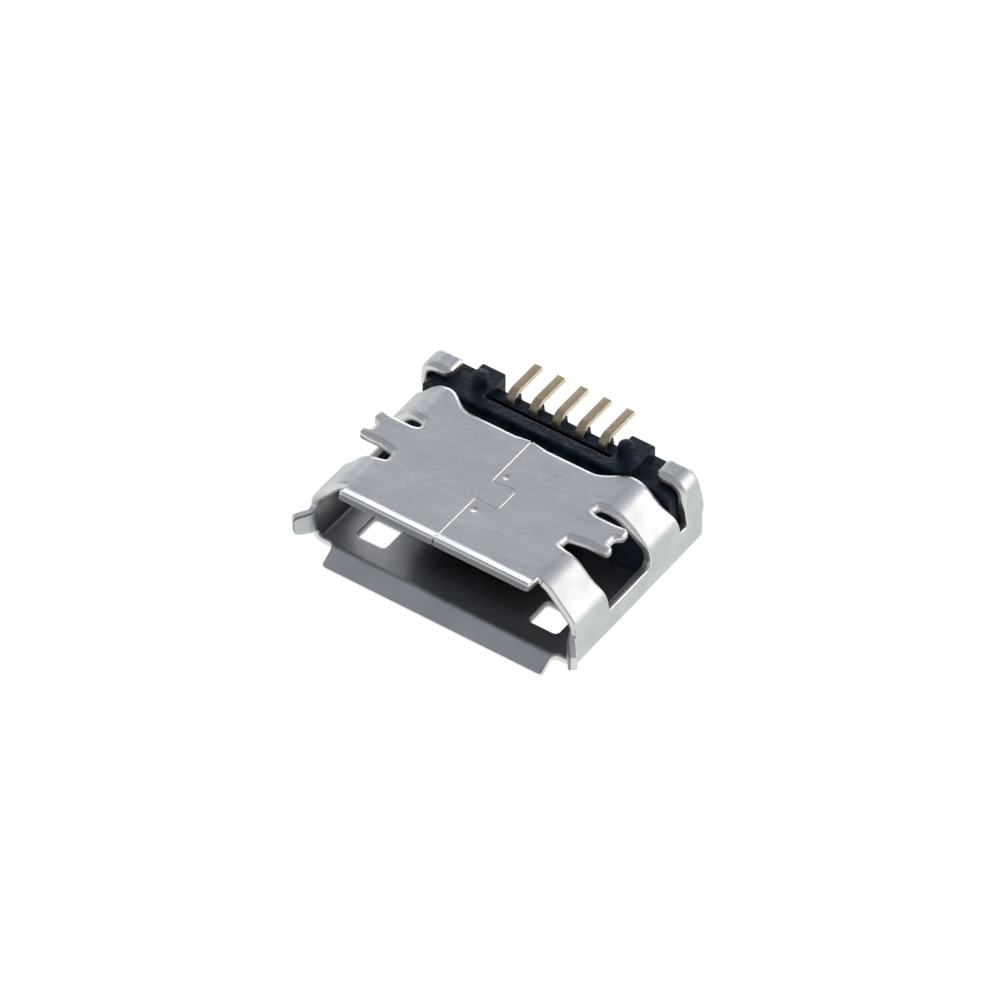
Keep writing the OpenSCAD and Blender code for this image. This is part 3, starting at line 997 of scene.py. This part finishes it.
        # Along the sheet the rows are closest in the bends of the flanges.
        along = [*np.arange(-0.75, -0.18, 0.1), *np.arange(-0.18, 0.02, 0.03), *np.arange(0.08, 5.4, 0.13)]
        grid = np.array([(b, y) for b in sorted(cross) for y in along])
        turns = np.linspace(0, 2 * math.pi, in_ring, endpoint=False)
        circle = np.stack([np.cos(turns), np.sin(turns)], 1)
        for x, y in self.stakes:
            middle = np.array([total - x, y])
            grid = grid[np.linalg.norm(grid - middle, axis=1) > 1.25 * self.stake_r]
            rings = [middle + r * self.stake_r * circle for r in (0.25, 0.5, 0.75, 1.0)]
            grid = np.concatenate([grid, middle[None, :], *rings])
        grid = grid[inside(grid, loops)]
        keep = np.ones(len(grid), bool)
        for start in range(0, len(grid), CHUNK):
            part = grid[start:start + CHUNK]
            gap = np.sqrt(((part[:, None, :] - edges[None, :, :]) ** 2).sum(2)).min(1)
            keep[start:start + CHUNK] = gap > clear
        return grid[keep]

    def fill(self, loops: list[np.ndarray]) -> tuple[np.ndarray, np.ndarray, np.ndarray]:
        """Fill the flat skin inside its loops with triangles.

        Args:
            loops: The loops that bound it.

        Returns:
            Its points on the blank, its triangles, and the numbers of the loops' points.
        """
        rim = np.concatenate(loops)
        sides, start = [], 0
        for loop in loops:
            n = len(loop)
            sides += [(start + i, start + (i + 1) % n) for i in range(n)]
            start += n
        verts = np.concatenate([rim, self.grid(rim, loops)])
        solved = delaunay_2d_cdt([Vector(v) for v in verts], sides, [], 0, 1e-7)
        uv = np.array([tuple(v) for v in solved[0]])
        faces = np.array([f for f in solved[2] if len(f) == 3])
        faces = faces[inside(uv[faces].mean(1), loops)]
        turn = np.cross(uv[faces[:, 1]] - uv[faces[:, 0]], uv[faces[:, 2]] - uv[faces[:, 0]])
        faces[turn < 0] = faces[turn < 0][:, ::-1]
        numbers = {old: new for new, olds in enumerate(solved[3]) for old in olds}
        return uv, faces, np.array([numbers[i] for i in range(len(rim))])

    def edge(self, loop: np.ndarray, way: np.ndarray, out: np.ndarray) -> list[tuple]:
        """Lay out a cut edge: the rounded or bevelled rim, the bright land and the torn wall.

        Args:
            loop: The cut, as a closed loop of the blank.
            way: The direction into the material at each point.
            out: The rounding at each point, as a column.

        Returns:
            For each ring of points its points, its normals and how deep in the cut it lies. The rim's
            outer rings are given the land's depth, so they are painted in its bright colour, a painted
            highlight.
        """
        t, low, roll = self.thick, np.minimum(out, self.edge_in), self.roll * out
        edge_p, edge_n = self.surface(loop)
        outside = unit(edge_p - self.surface(loop + way * out)[0])
        bevel = self.on_seam(loop)[:, None]
        rings: list[tuple] = []
        for k, a in enumerate(QUARTER, 1):
            share = k / len(QUARTER)
            lean = np.where(bevel, math.radians(45), a)
            p, n = self.surface(loop + way * out * (1 - np.where(bevel, share, math.sin(a))))
            # Past the first ring the rounded or bevelled rim takes the land's value 0.5, so it is painted in
            # the land's bright colour: a painted highlight, not burnishing.
            rings.append((p + n * (t / 2 - roll * np.where(bevel, share, 1 - math.cos(a))),
                          unit(n * out * np.cos(lean) + outside * roll * np.sin(lean)), 0.5 * (k > 1)))
        rings.append((edge_p + edge_n * (t / 2 - roll - self.burnished(loop)[:, None]), outside, 0.5))
        for a in reversed(QUARTER):
            p, n = self.surface(loop + way * low * (1 - math.sin(a)))
            rings.append((p - n * (t / 2 - low * (1 - math.cos(a))),
                          unit(-n * math.cos(a) + outside * math.sin(a)), 1.0))
        return rings

    def mesh(self) -> bpy.types.Mesh:
        """Build the sheet: two skins and the rounded, sheared edge between them.

        Returns:
            The mesh, in metres.
        """
        t = self.thick
        cuts = self.loops()
        ways = [inward(c) for c in cuts]
        outs = [held_radius(c, self.rounding(c))[:, None] for c in cuts]
        uv, faces, numbers = self.fill([c + w * r for c, w, r in zip(cuts, ways, outs)])
        middle, normal = self.surface(uv)
        form = SheetForm()
        form.add(middle + normal * t / 2, normal)
        form.add(middle - normal * t / 2, -normal)
        form.faces = [tuple(f) for f in faces[:, ::-1].tolist() + (faces + len(uv)).tolist()]
        form.cut = [0.0] * len(form.faces)
        start = 0
        for loop, way, out in zip(cuts, ways, outs):
            rim = numbers[start:start + len(loop)]
            start += len(loop)
            above = rim
            for points, normals, cut in self.edge(loop, way, out):
                ring = form.add(points, normals)
                form.band(above, ring, cut)
                above = ring
            form.band(above, rim + len(uv), 0.0)
        return form.mesh("shell_sheet", self.placing)

    def build(self, material: bpy.types.Material) -> bpy.types.Object:
        """Make the shell and let it stand for its CAD node.

        Args:
            material: The sheet's finish.

        Returns:
            The piece.
        """
        piece = link_object("shell_sheet", self.mesh())
        piece.data.materials.append(material)
        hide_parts("shell")
        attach(piece, "root")
        return piece


class Along(Enum):
    """The direction that a prism runs in."""

    X = 0
    Y = 1
    Z = 2


@dataclass
class Moulding:
    """A mesh that is put together from prisms with rounded edges, as a mould's pockets are."""

    form: bmesh.types.BMesh = field(default_factory=bmesh.new)
    placing: Placing = field(default_factory=Placing)

    def prism(self, outline: list[Point], along: Along, ends: Point, edge: float = 0.03) -> None:
        """Add a prism.

        Args:
            outline: Its outline in the other two axes, in alphabetical order.
            along: The direction it runs in.
            ends: Where it starts and ends, in millimetres.
            edge: The rounding of its edges.
        """
        part = bmesh.new()
        rings = []
        for depth in ends:
            spots = [[*p[:along.value], depth, *p[along.value:]] for p in outline]
            rings.append([part.verts.new(spot) for spot in spots])
            part.faces.new(rings[-1])
        for i in range(len(outline)):
            j = (i + 1) % len(outline)
            part.faces.new((rings[0][i], rings[0][j], rings[1][j], rings[1][i]))
        bmesh.ops.recalc_face_normals(part, faces=part.faces)
        least_angle = math.radians(26)
        sharp = [e for e in part.edges if e.calc_face_angle(0.0) > least_angle]
        bmesh.ops.bevel(part, geom=sharp, offset=edge, offset_type="OFFSET", segments=3, profile=0.5,
                        affect="EDGES", clamp_overlap=True)
        self.add(part)

    def turned(self, profile: list[Point], centre: Point, steps: int = 40) -> None:
        """Add a round part about a vertical axis.

        Args:
            profile: Radius and height from its foot to its top, which ends on the axis.
            centre: The axis's x and y.
            steps: Sides of the circle.
        """
        part = bmesh.new()
        rings = []
        turns = [2 * math.pi * k / steps for k in range(steps)]
        for r, z in profile[:-1]:
            spots = [(centre[0] + r * math.cos(a), centre[1] + r * math.sin(a), z) for a in turns]
            rings.append([part.verts.new(spot) for spot in spots])
        top = part.verts.new((*centre, profile[-1][1]))
        part.faces.new(rings[0])
        for low, high in zip(rings, rings[1:]):
            for k in range(steps):
                part.faces.new((low[k], low[(k + 1) % steps], high[(k + 1) % steps], high[k]))
        for k in range(steps):
            part.faces.new((rings[-1][k], rings[-1][(k + 1) % steps], top))
        bmesh.ops.recalc_face_normals(part, faces=part.faces)
        self.add(part)

    def add(self, part: bmesh.types.BMesh) -> None:
        """Add a finished part, and free it.

        Args:
            part: The part.
        """
        mesh = bpy.data.meshes.new("part")
        part.to_mesh(mesh)
        part.free()
        self.form.from_mesh(mesh)
        bpy.data.meshes.remove(mesh)

    def mesh(self, name: str) -> bpy.types.Mesh:
        """Finish the mesh, with normals that keep its flat faces flat.

        Args:
            name: The mesh's name.

        Returns:
            The mesh, in metres and in place.
        """
        mesh = bpy.data.meshes.new(name)
        self.form.to_mesh(mesh)
        self.form.free()
        normals = np.zeros((len(mesh.vertices), 3))
        for face in mesh.polygons:
            for i in face.vertices:
                normals[i] += np.array(face.normal) * face.area
        points = np.empty(len(mesh.vertices) * 3)
        mesh.vertices.foreach_get("co", points)
        mesh.vertices.foreach_set("co", self.placing.metres(points.reshape(-1, 3)).ravel())
        mesh.polygons.foreach_set("use_smooth", [True] * len(mesh.polygons))
        mesh.normals_split_custom_set_from_vertices(unit(normals).tolist())
        mesh.update()
        return mesh


@dataclass
class Row:
    """Equal forms side by side across the socket, made with Geometry Nodes."""

    name: str
    count: int
    pitch: float

    def build(self, mesh: bpy.types.Mesh, material: bpy.types.Material, sizes: dict[str, float],
              shape: Callable[[bpy.types.NodeTree, bpy.types.bpy_prop_collection], bpy.types.NodeSocket]
              ) -> bpy.types.Mesh:
        """Build the tree and run it on a mesh.

        Args:
            mesh: What the tree starts from.
            material: The finish.
            sizes: The tree's inputs besides Count and Pitch, in millimetres.
            shape: What makes the form that is repeated, from the tree and its inputs.

        Returns:
            One plain mesh of all the forms.
        """
        tree = bpy.data.node_groups.new(self.name, "GeometryNodeTree")
        face = tree.interface
        face.new_socket("Geometry", in_out="INPUT", socket_type="NodeSocketGeometry")
        keys = {"Count": face.new_socket("Count", in_out="INPUT", socket_type="NodeSocketInt").identifier}
        for name in ("Pitch", *sizes):
            keys[name] = face.new_socket(name, in_out="INPUT", socket_type="NodeSocketFloat").identifier
        face.new_socket("Geometry", in_out="OUTPUT", socket_type="NodeSocketGeometry")
        given = add_node(tree, "NodeGroupInput").outputs
        gaps = add_node(tree, "ShaderNodeMath", {0: given["Count"], 1: 1.0}, operation="SUBTRACT")
        half = add_node(tree, "ShaderNodeMath", {0: gaps, 1: -0.5}, operation="MULTIPLY")
        first = add_node(tree, "ShaderNodeMath", {0: half, 1: given["Pitch"]}, operation="MULTIPLY")
        row = add_node(tree, "GeometryNodeMeshLine", {
            "Count": given["Count"], "Start Location": add_node(tree, "ShaderNodeCombineXYZ", {"X": first}),
            "Offset": add_node(tree, "ShaderNodeCombineXYZ", {"X": given["Pitch"]})}, mode="OFFSET")
        form = shape(tree, given)
        copies = add_node(tree, "GeometryNodeInstanceOnPoints", {"Points": row, "Instance": form})
        solid = add_node(tree, "GeometryNodeRealizeInstances", {0: copies})
        dressed = add_node(tree, "GeometryNodeSetMaterial", {"Geometry": solid, "Material": material})
        add_node(tree, "NodeGroupOutput", {0: dressed})
        maker = link_object(self.name + "_maker", mesh)
        modifier = maker.modifiers.new(self.name, "NODES")
        modifier.node_group = tree
        modifier[keys["Count"]] = self.count
        for name, size in {"Pitch": self.pitch, **sizes}.items():
            modifier[keys[name]] = size * MM
        result = bpy.data.meshes.new_from_object(maker.evaluated_get(bpy.context.evaluated_depsgraph_get()))
        maker.modifiers.remove(modifier)
        bpy.data.objects.remove(maker)
        result.name = self.name
        return result


@dataclass
class MouldedHousing:
    """The black housing: one moulding that fills the shell's back and carries the tongue.

    Where two of its blocks overlap, one is smaller by the lap, so that no two faces coincide.
    """

    height: float = 2.37
    half_w: float = 3.505
    floor: float = 0.24
    wall_top: float = 1.34
    roof_half: float = 2.76
    roof: float = 2.13
    front: float = 3.2
    step: float = 4.19
    rear: float = 5.07
    ledge: float = 2.07
    ledge_low: float = 1.6
    pocket: float = 1.75
    chamfer: float = 0.18
    frame_half: float = 2.44
    frame_y: float = 3.84
    frame_r: float = 0.42
    bay_half: float = 1.77
    bay_y: float = 4.16
    bay_r: float = 0.06
    stem_y: float = 4.6
    bay_rear: float = 4.8
    sill_y: float = 4.45
    sill_z: float = 2.11
    lap: float = 0.008
    peg_x: float = 2.05
    peg_y: float = 4.42
    peg_r: float = 0.2
    peg_h: float = 0.4
    tongue_half: float = 1.71
    tongue_tip: float = 0.8
    tongue_z: Point = (0.7, 1.3)
    groove_y: float = 0.94
    groove_depth: float = 0.09
    groove_w: float = 0.25
    contacts: int = len(CONTACTS)
    pitch: float = CONTACT_PITCH

    def body(self, mould: Moulding) -> None:
        """Add the block that fills the shell, with its bay and pockets.

        Args:
            mould: The moulding that gets it.
        """
        w, low, lap, roof, joint = self.half_w, self.floor, self.lap, self.roof_half, self.step - 0.1
        outline = [(-w, low, 0.09), (w, low, 0.09), (w, self.wall_top, 0.36), (roof, self.roof, 0.16),
                   (-roof, self.roof, 0.16), (-w, self.wall_top, 0.36)]
        mould.prism(round_corners(outline), Along.Y, (self.front, self.step))
        w -= lap
        mould.prism(rectangle((-w, w), (low + lap, self.pocket)), Along.Y, (joint, self.rear))
        w -= lap
        inner, base, top, cut = self.bay_half + lap, self.ledge_low, self.ledge, self.chamfer
        block = [(inner, base), (w, base), (w, top - cut), (w - cut, top), (inner, top)]
        for side in Side:
            mould.prism([(side.value * x, z) for x, z in block], Along.Y, (joint, self.rear - lap))
        overlap = 0.05
        across = (-inner - overlap, inner + overlap)
        mould.prism(rectangle((self.frame_y + lap, self.bay_y - lap), (base, top - lap)), Along.X, across)
        mould.prism(rectangle((self.sill_y, self.bay_rear), (base, self.sill_z)), Along.X, across)

    def frame(self, mould: Moulding) -> None:
        """Add the raised frame: a ridge in front and a block at each end.

        Args:
            mould: The moulding that gets it.
        """
        half, bay, rear = self.frame_half, self.bay_half, self.rear
        outline = [(-half, self.frame_y, self.frame_r), (half, self.frame_y, self.frame_r), (half, rear, 0.0),
                   (bay, rear, 0.0), (bay, self.bay_y, self.bay_r), (-bay, self.bay_y, self.bay_r),
                   (-bay, rear, 0.0), (-half, rear, 0.0)]
        mould.prism(round_corners(outline, steps=10), Along.Z, (self.ledge - 0.1, self.height), edge=0.05)

    def pegs(self, mould: Moulding) -> None:
        """Add the two locating pegs, each with a soft foot and a small dome.

        Args:
            mould: The moulding that gets them.
        """
        r, foot, top = self.peg_r, self.height, self.height + self.peg_h
        profile = [(r + 0.05, foot - 0.03), (r + 0.02, foot + 0.004), (r + 0.004, foot + 0.03),
                   (r, foot + 0.06), (r - 0.004, top - 0.08), (r - 0.02, top - 0.04),
                   (r - 0.06, top - 0.012), (r - 0.1, top), (0.0, top)]
        for side in Side:
            mould.turned(profile, (side.value * self.peg_x, self.peg_y))

    def tongue(self, mould: Moulding) -> None:
        """Add the tongue, with a groove for each contact.

        Args:
            mould: The moulding that gets it.
        """
        half, tip, lap = self.tongue_half, self.tongue_tip, self.lap
        start, end = self.groove_y, self.front + 0.1
        low, high = self.tongue_z
        nose = [(tip, low + 0.06), (tip + 0.06, low), (start + 0.02, low), (start + 0.02, high),
                (tip + 0.14, high), (tip, high - 0.14)]
        mould.prism(nose, Along.X, (-half, half), edge=0.02)
        half -= lap
        core = rectangle((start - 0.02, end), (low + lap, high - self.groove_depth))
        mould.prism(core, Along.X, (-half, half), edge=0.01)
        half -= lap
        grooves = [(k - (self.contacts - 1) / 2) * self.pitch for k in range(self.contacts)]
        walls = [-half, *(x + way * self.groove_w / 2 for x in grooves for way in (-1, 1)), half]
        for left, right in zip(walls[::2], walls[1::2]):
            mould.prism(rectangle((left, right), (low + 0.2, high)), Along.Y, (start, end), edge=0.015)

    def supports(self, material: bpy.types.Material) -> bpy.types.Mesh:
        """Make the buttresses under the feet, with hollow sides that run down to the bay's floor.

        Args:
            material: The plastic.

        Returns:
            One mesh of them all.
        """
        half, top, low, steps = 0.12, self.height - 0.12, self.pocket, 8
        side = []
        for k in range(steps + 1):
            u = k / steps
            side.append((half + 0.05 * u + 0.15 * u ** 3, top - (top - low) * u ** 0.9))
        mould = Moulding()
        ends = (self.stem_y - 0.02, self.bay_rear + 0.04)
        mould.prism(side + [(-x, z) for x, z in reversed(side)], Along.Y, ends, edge=0.02)
        row = Row("foot_supports", self.contacts, self.pitch)
        return row.build(mould.mesh("foot_support"), material, {}, lambda tree, given: given["Geometry"])

    def build(self, material: bpy.types.Material) -> list[bpy.types.Object]:
        """Mould the housing and let it stand for its CAD node.

        Args:
            material: The plastic.

        Returns:
            The housing and its foot supports.
        """
        mould = Moulding()
        for make in (self.body, self.frame, self.pegs, self.tongue):
            make(mould)
        piece = link_object("moulded_housing", mould.mesh("moulded_housing"))
        piece.data.materials.append(material)
        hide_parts("housing")
        supports = link_object("foot_supports", self.supports(material))
        for part in (piece, supports):
            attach(part, "root")
        return [piece, supports]


@dataclass
class ContactRow:
    """The five contacts: one bent strip, repeated at an even pitch."""

    pitch: float = CONTACT_PITCH
    width: float = 0.23
    thick: float = 0.12
    edge_r: float = 0.022
    bend_steps: int = 8
    edge_steps: int = 3
    corners: tuple[Point, ...] = ((0.95, 1.27), (4.32, 1.27), (4.6, 2.34), (5.7, 2.34))
    bend_r: tuple[float, ...] = (0.0, 0.14, 0.3, 0.0)
    nodes: tuple[str, ...] = CONTACTS
    placing: Placing = field(default_factory=Placing)

    def path(self) -> bpy.types.Mesh:
        """Make the strip's centre line, with its bend radii as an attribute.

        Returns:
            A mesh of edges, in metres.
        """
        points = np.array([(0.0, y, z) for y, z in self.corners])
        mesh = bpy.data.meshes.new("contact_path")
        edges = [(i, i + 1) for i in range(len(points) - 1)]
        mesh.from_pydata(self.placing.metres(points).tolist(), edges, [])
        bend = mesh.attributes.new("bend_radius", "FLOAT", "POINT")
        bend.data.foreach_set("value", [r * MM for r in self.bend_r])
        return mesh

    def strip(self, tree: bpy.types.NodeTree, given: bpy.types.bpy_prop_collection) -> bpy.types.NodeSocket:
        """Sweep the strip's outline along its centre line.

        Args:
            tree: The node tree.
            given: The tree's inputs.

        Returns:
            The strip.
        """
        line = add_node(tree, "GeometryNodeMeshToCurve", {0: given["Geometry"]})
        radius = add_node(tree, "GeometryNodeInputNamedAttribute", {"Name": "bend_radius"}, data_type="FLOAT")
        bent = add_node(tree, "GeometryNodeFilletCurve", {
            "Curve": line, "Count": self.bend_steps, "Radius": radius}, mode="POLY")
        bent = add_node(tree, "GeometryNodeSetCurveNormal", {"Curve": bent}, mode="Z_UP")
        outline = add_node(tree, "GeometryNodeCurvePrimitiveQuadrilateral", {
            "Width": given["Width"], "Height": given["Thickness"]})
        outline = add_node(tree, "GeometryNodeFilletCurve", {
            "Curve": outline, "Count": self.edge_steps, "Radius": given["Edge radius"]}, mode="POLY")
        return add_node(tree, "GeometryNodeCurveToMesh", {
            "Curve": bent, "Profile Curve": outline, "Fill Caps": True}).outputs[0]

    def build(self, material: bpy.types.Material) -> bpy.types.Object:
        """Make the row and let it stand for the five CAD nodes.

        Args:
            material: The strip's finish.

        Returns:
            The piece.
        """
        sizes = {"Width": self.width, "Thickness": self.thick, "Edge radius": self.edge_r}
        mesh = Row("contact_row", len(self.nodes), self.pitch).build(self.path(), material, sizes, self.strip)
        form = bmesh.new()
        form.from_mesh(mesh)
        bmesh.ops.remove_doubles(form, verts=form.verts, dist=1e-7)
        bmesh.ops.recalc_face_normals(form, faces=form.faces)
        for face in form.faces:
            face.smooth = len(face.verts) == 4
        form.to_mesh(mesh)
        form.free()
        piece = link_object("contact_row", mesh)
        for name in self.nodes:
            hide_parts(name)
        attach(piece, "root")
        return piece


@dataclass(frozen=True)
class Softbox:
    """A square soft lamp that faces the socket. A radiance of 1 is white, and sizes are metres."""

    name: str
    direction: tuple[float, ...]
    size: float
    radiance: float
    colour: str = "ffffff"
    distance: float = 0.5

    def build(self) -> None:
        """Make the lamp."""
        data = bpy.data.lights.new(self.name, "AREA")
        data.size = self.size
        data.energy = self.radiance * math.pi * self.size * self.size
        data.color = linear(self.colour)[:3]
        out = Vector(self.direction).normalized()
        turn = out.to_track_quat("Z", "Y").to_matrix().to_4x4()
        link_object(self.name, data).matrix_world = Matrix.Translation(out * self.distance) @ turn


@dataclass
class Studio:
    """Floor, world and lamps."""

    floor_size: float = 3.0
    floor_z: float = -0.00001
    paper: str = "e8e8e8"
    sky: float = 0.36
    sky_colour: str = "f2f6ff"
    floor_shade: float = 0.86
    floor_glow: float = 1.12
    floor_mirror: float = 0.92
    mirror_colour: str = "fbfffa"
    lamps: tuple[Softbox, ...] = (
        Softbox("right_softbox", (0.77, 0.56, 0.35), 0.42, 1.34, "fff8f0"),
        Softbox("rear_softbox", (-0.35, 0.9, 0.2), 0.4, 1.6),
        Softbox("top_softbox", (0.5, 0.52, 0.69), 0.5, 0.25),
        Softbox("left_softbox", (-0.92, 0.35, 0.2), 0.4, 0.3),
    )

    def paper_material(self) -> bpy.types.Material:
        """Make the paper, which keeps its shadows and is white in the camera and in mirrors.

        Returns:
            The material.
        """
        material = bpy.data.materials.new("white_paper")
        material.use_nodes = True
        tree = material.node_tree
        shader = tree.nodes["Principled BSDF"]
        set_inputs(shader, {"Base Color": linear(self.paper), "Roughness": 1.0, "Specular IOR Level": 0.0})
        ray = add_node(tree, "ShaderNodeLightPath").outputs
        seen = ray["Is Camera Ray"]
        mirrored = add_node(tree, "ShaderNodeMath", {0: ray["Is Glossy Ray"], 1: ray["Is Transmission Ray"]},
                            operation="MAXIMUM")
        either = add_node(tree, "ShaderNodeMath", {0: seen, 1: mirrored}, operation="MAXIMUM")
        parts = ((seen, self.floor_glow), (mirrored, self.floor_mirror), (either, self.floor_shade))
        glow, mirror, share = (add_node(tree, "ShaderNodeMath", {0: source, 1: value}, operation="MULTIPLY")
                               for source, value in parts)
        strength = add_node(tree, "ShaderNodeMath", {0: glow, 1: mirror}, operation="ADD")
        tint = add_node(tree, "ShaderNodeMix", {
            0: seen, 6: linear(self.mirror_colour), 7: linear("ffffff")}, data_type="RGBA").outputs[2]
        light = add_node(tree, "ShaderNodeEmission", {"Color": tint, "Strength": strength})
        mixed = add_node(tree, "ShaderNodeMixShader", {0: share, 1: shader, 2: light})
        set_inputs(tree.nodes["Material Output"], {"Surface": mixed})
        return material

    def floor(self) -> None:
        """Make the white paper that the socket lies on."""
        s = self.floor_size / 2
        mesh = bpy.data.meshes.new("floor")
        mesh.from_pydata([(x, y, 0) for x, y in rectangle((-s, s), (-s, s))], [], [(0, 1, 2, 3)])
        mesh.materials.append(self.paper_material())
        floor = link_object("floor", mesh)
        floor.location.z = self.floor_z

    def world(self) -> None:
        """Make the even grey room, which the camera sees as white."""
        world = bpy.data.worlds.new("grey_room")
        bpy.context.scene.world = world
        world.use_nodes = True
        tree = world.node_tree
        room = tree.nodes["Background"]
        set_inputs(room, {"Color": linear(self.sky_colour), "Strength": self.sky})
        seen = add_node(tree, "ShaderNodeLightPath").outputs["Is Camera Ray"]
        white = add_node(tree, "ShaderNodeBackground", {"Color": linear("ffffff"), "Strength": 1.0})
        mixed = add_node(tree, "ShaderNodeMixShader", {0: seen, 1: room, 2: white})
        set_inputs(tree.nodes["World Output"], {"Surface": mixed})

    def build(self) -> None:
        """Make the floor, the world and the lamps."""
        self.floor()
        self.world()
        for lamp in self.lamps:
            lamp.build()


def main() -> None:
    """Build the scene, piece by piece."""
    logging.basicConfig(level=logging.INFO, format="%(message)s")
    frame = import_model()
    LOG.info("CAD nodes: %s", ", ".join(sorted(frame["nodes"])))
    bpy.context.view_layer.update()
    View().build()
    Studio().build()
    bpy.context.scene.view_settings.view_transform = "Standard"
    shell = FoldedShell().build(PlatedSteel().build())
    housing = MouldedHousing().build(MouldedPlastic().build())
    contacts = ContactRow().build(FlashedCopper().build())
    for piece in (shell, *housing, contacts):
        LOG.info("%s: %d faces", piece.name, len(piece.data.polygons))


if __name__ == "__main__":
    main()
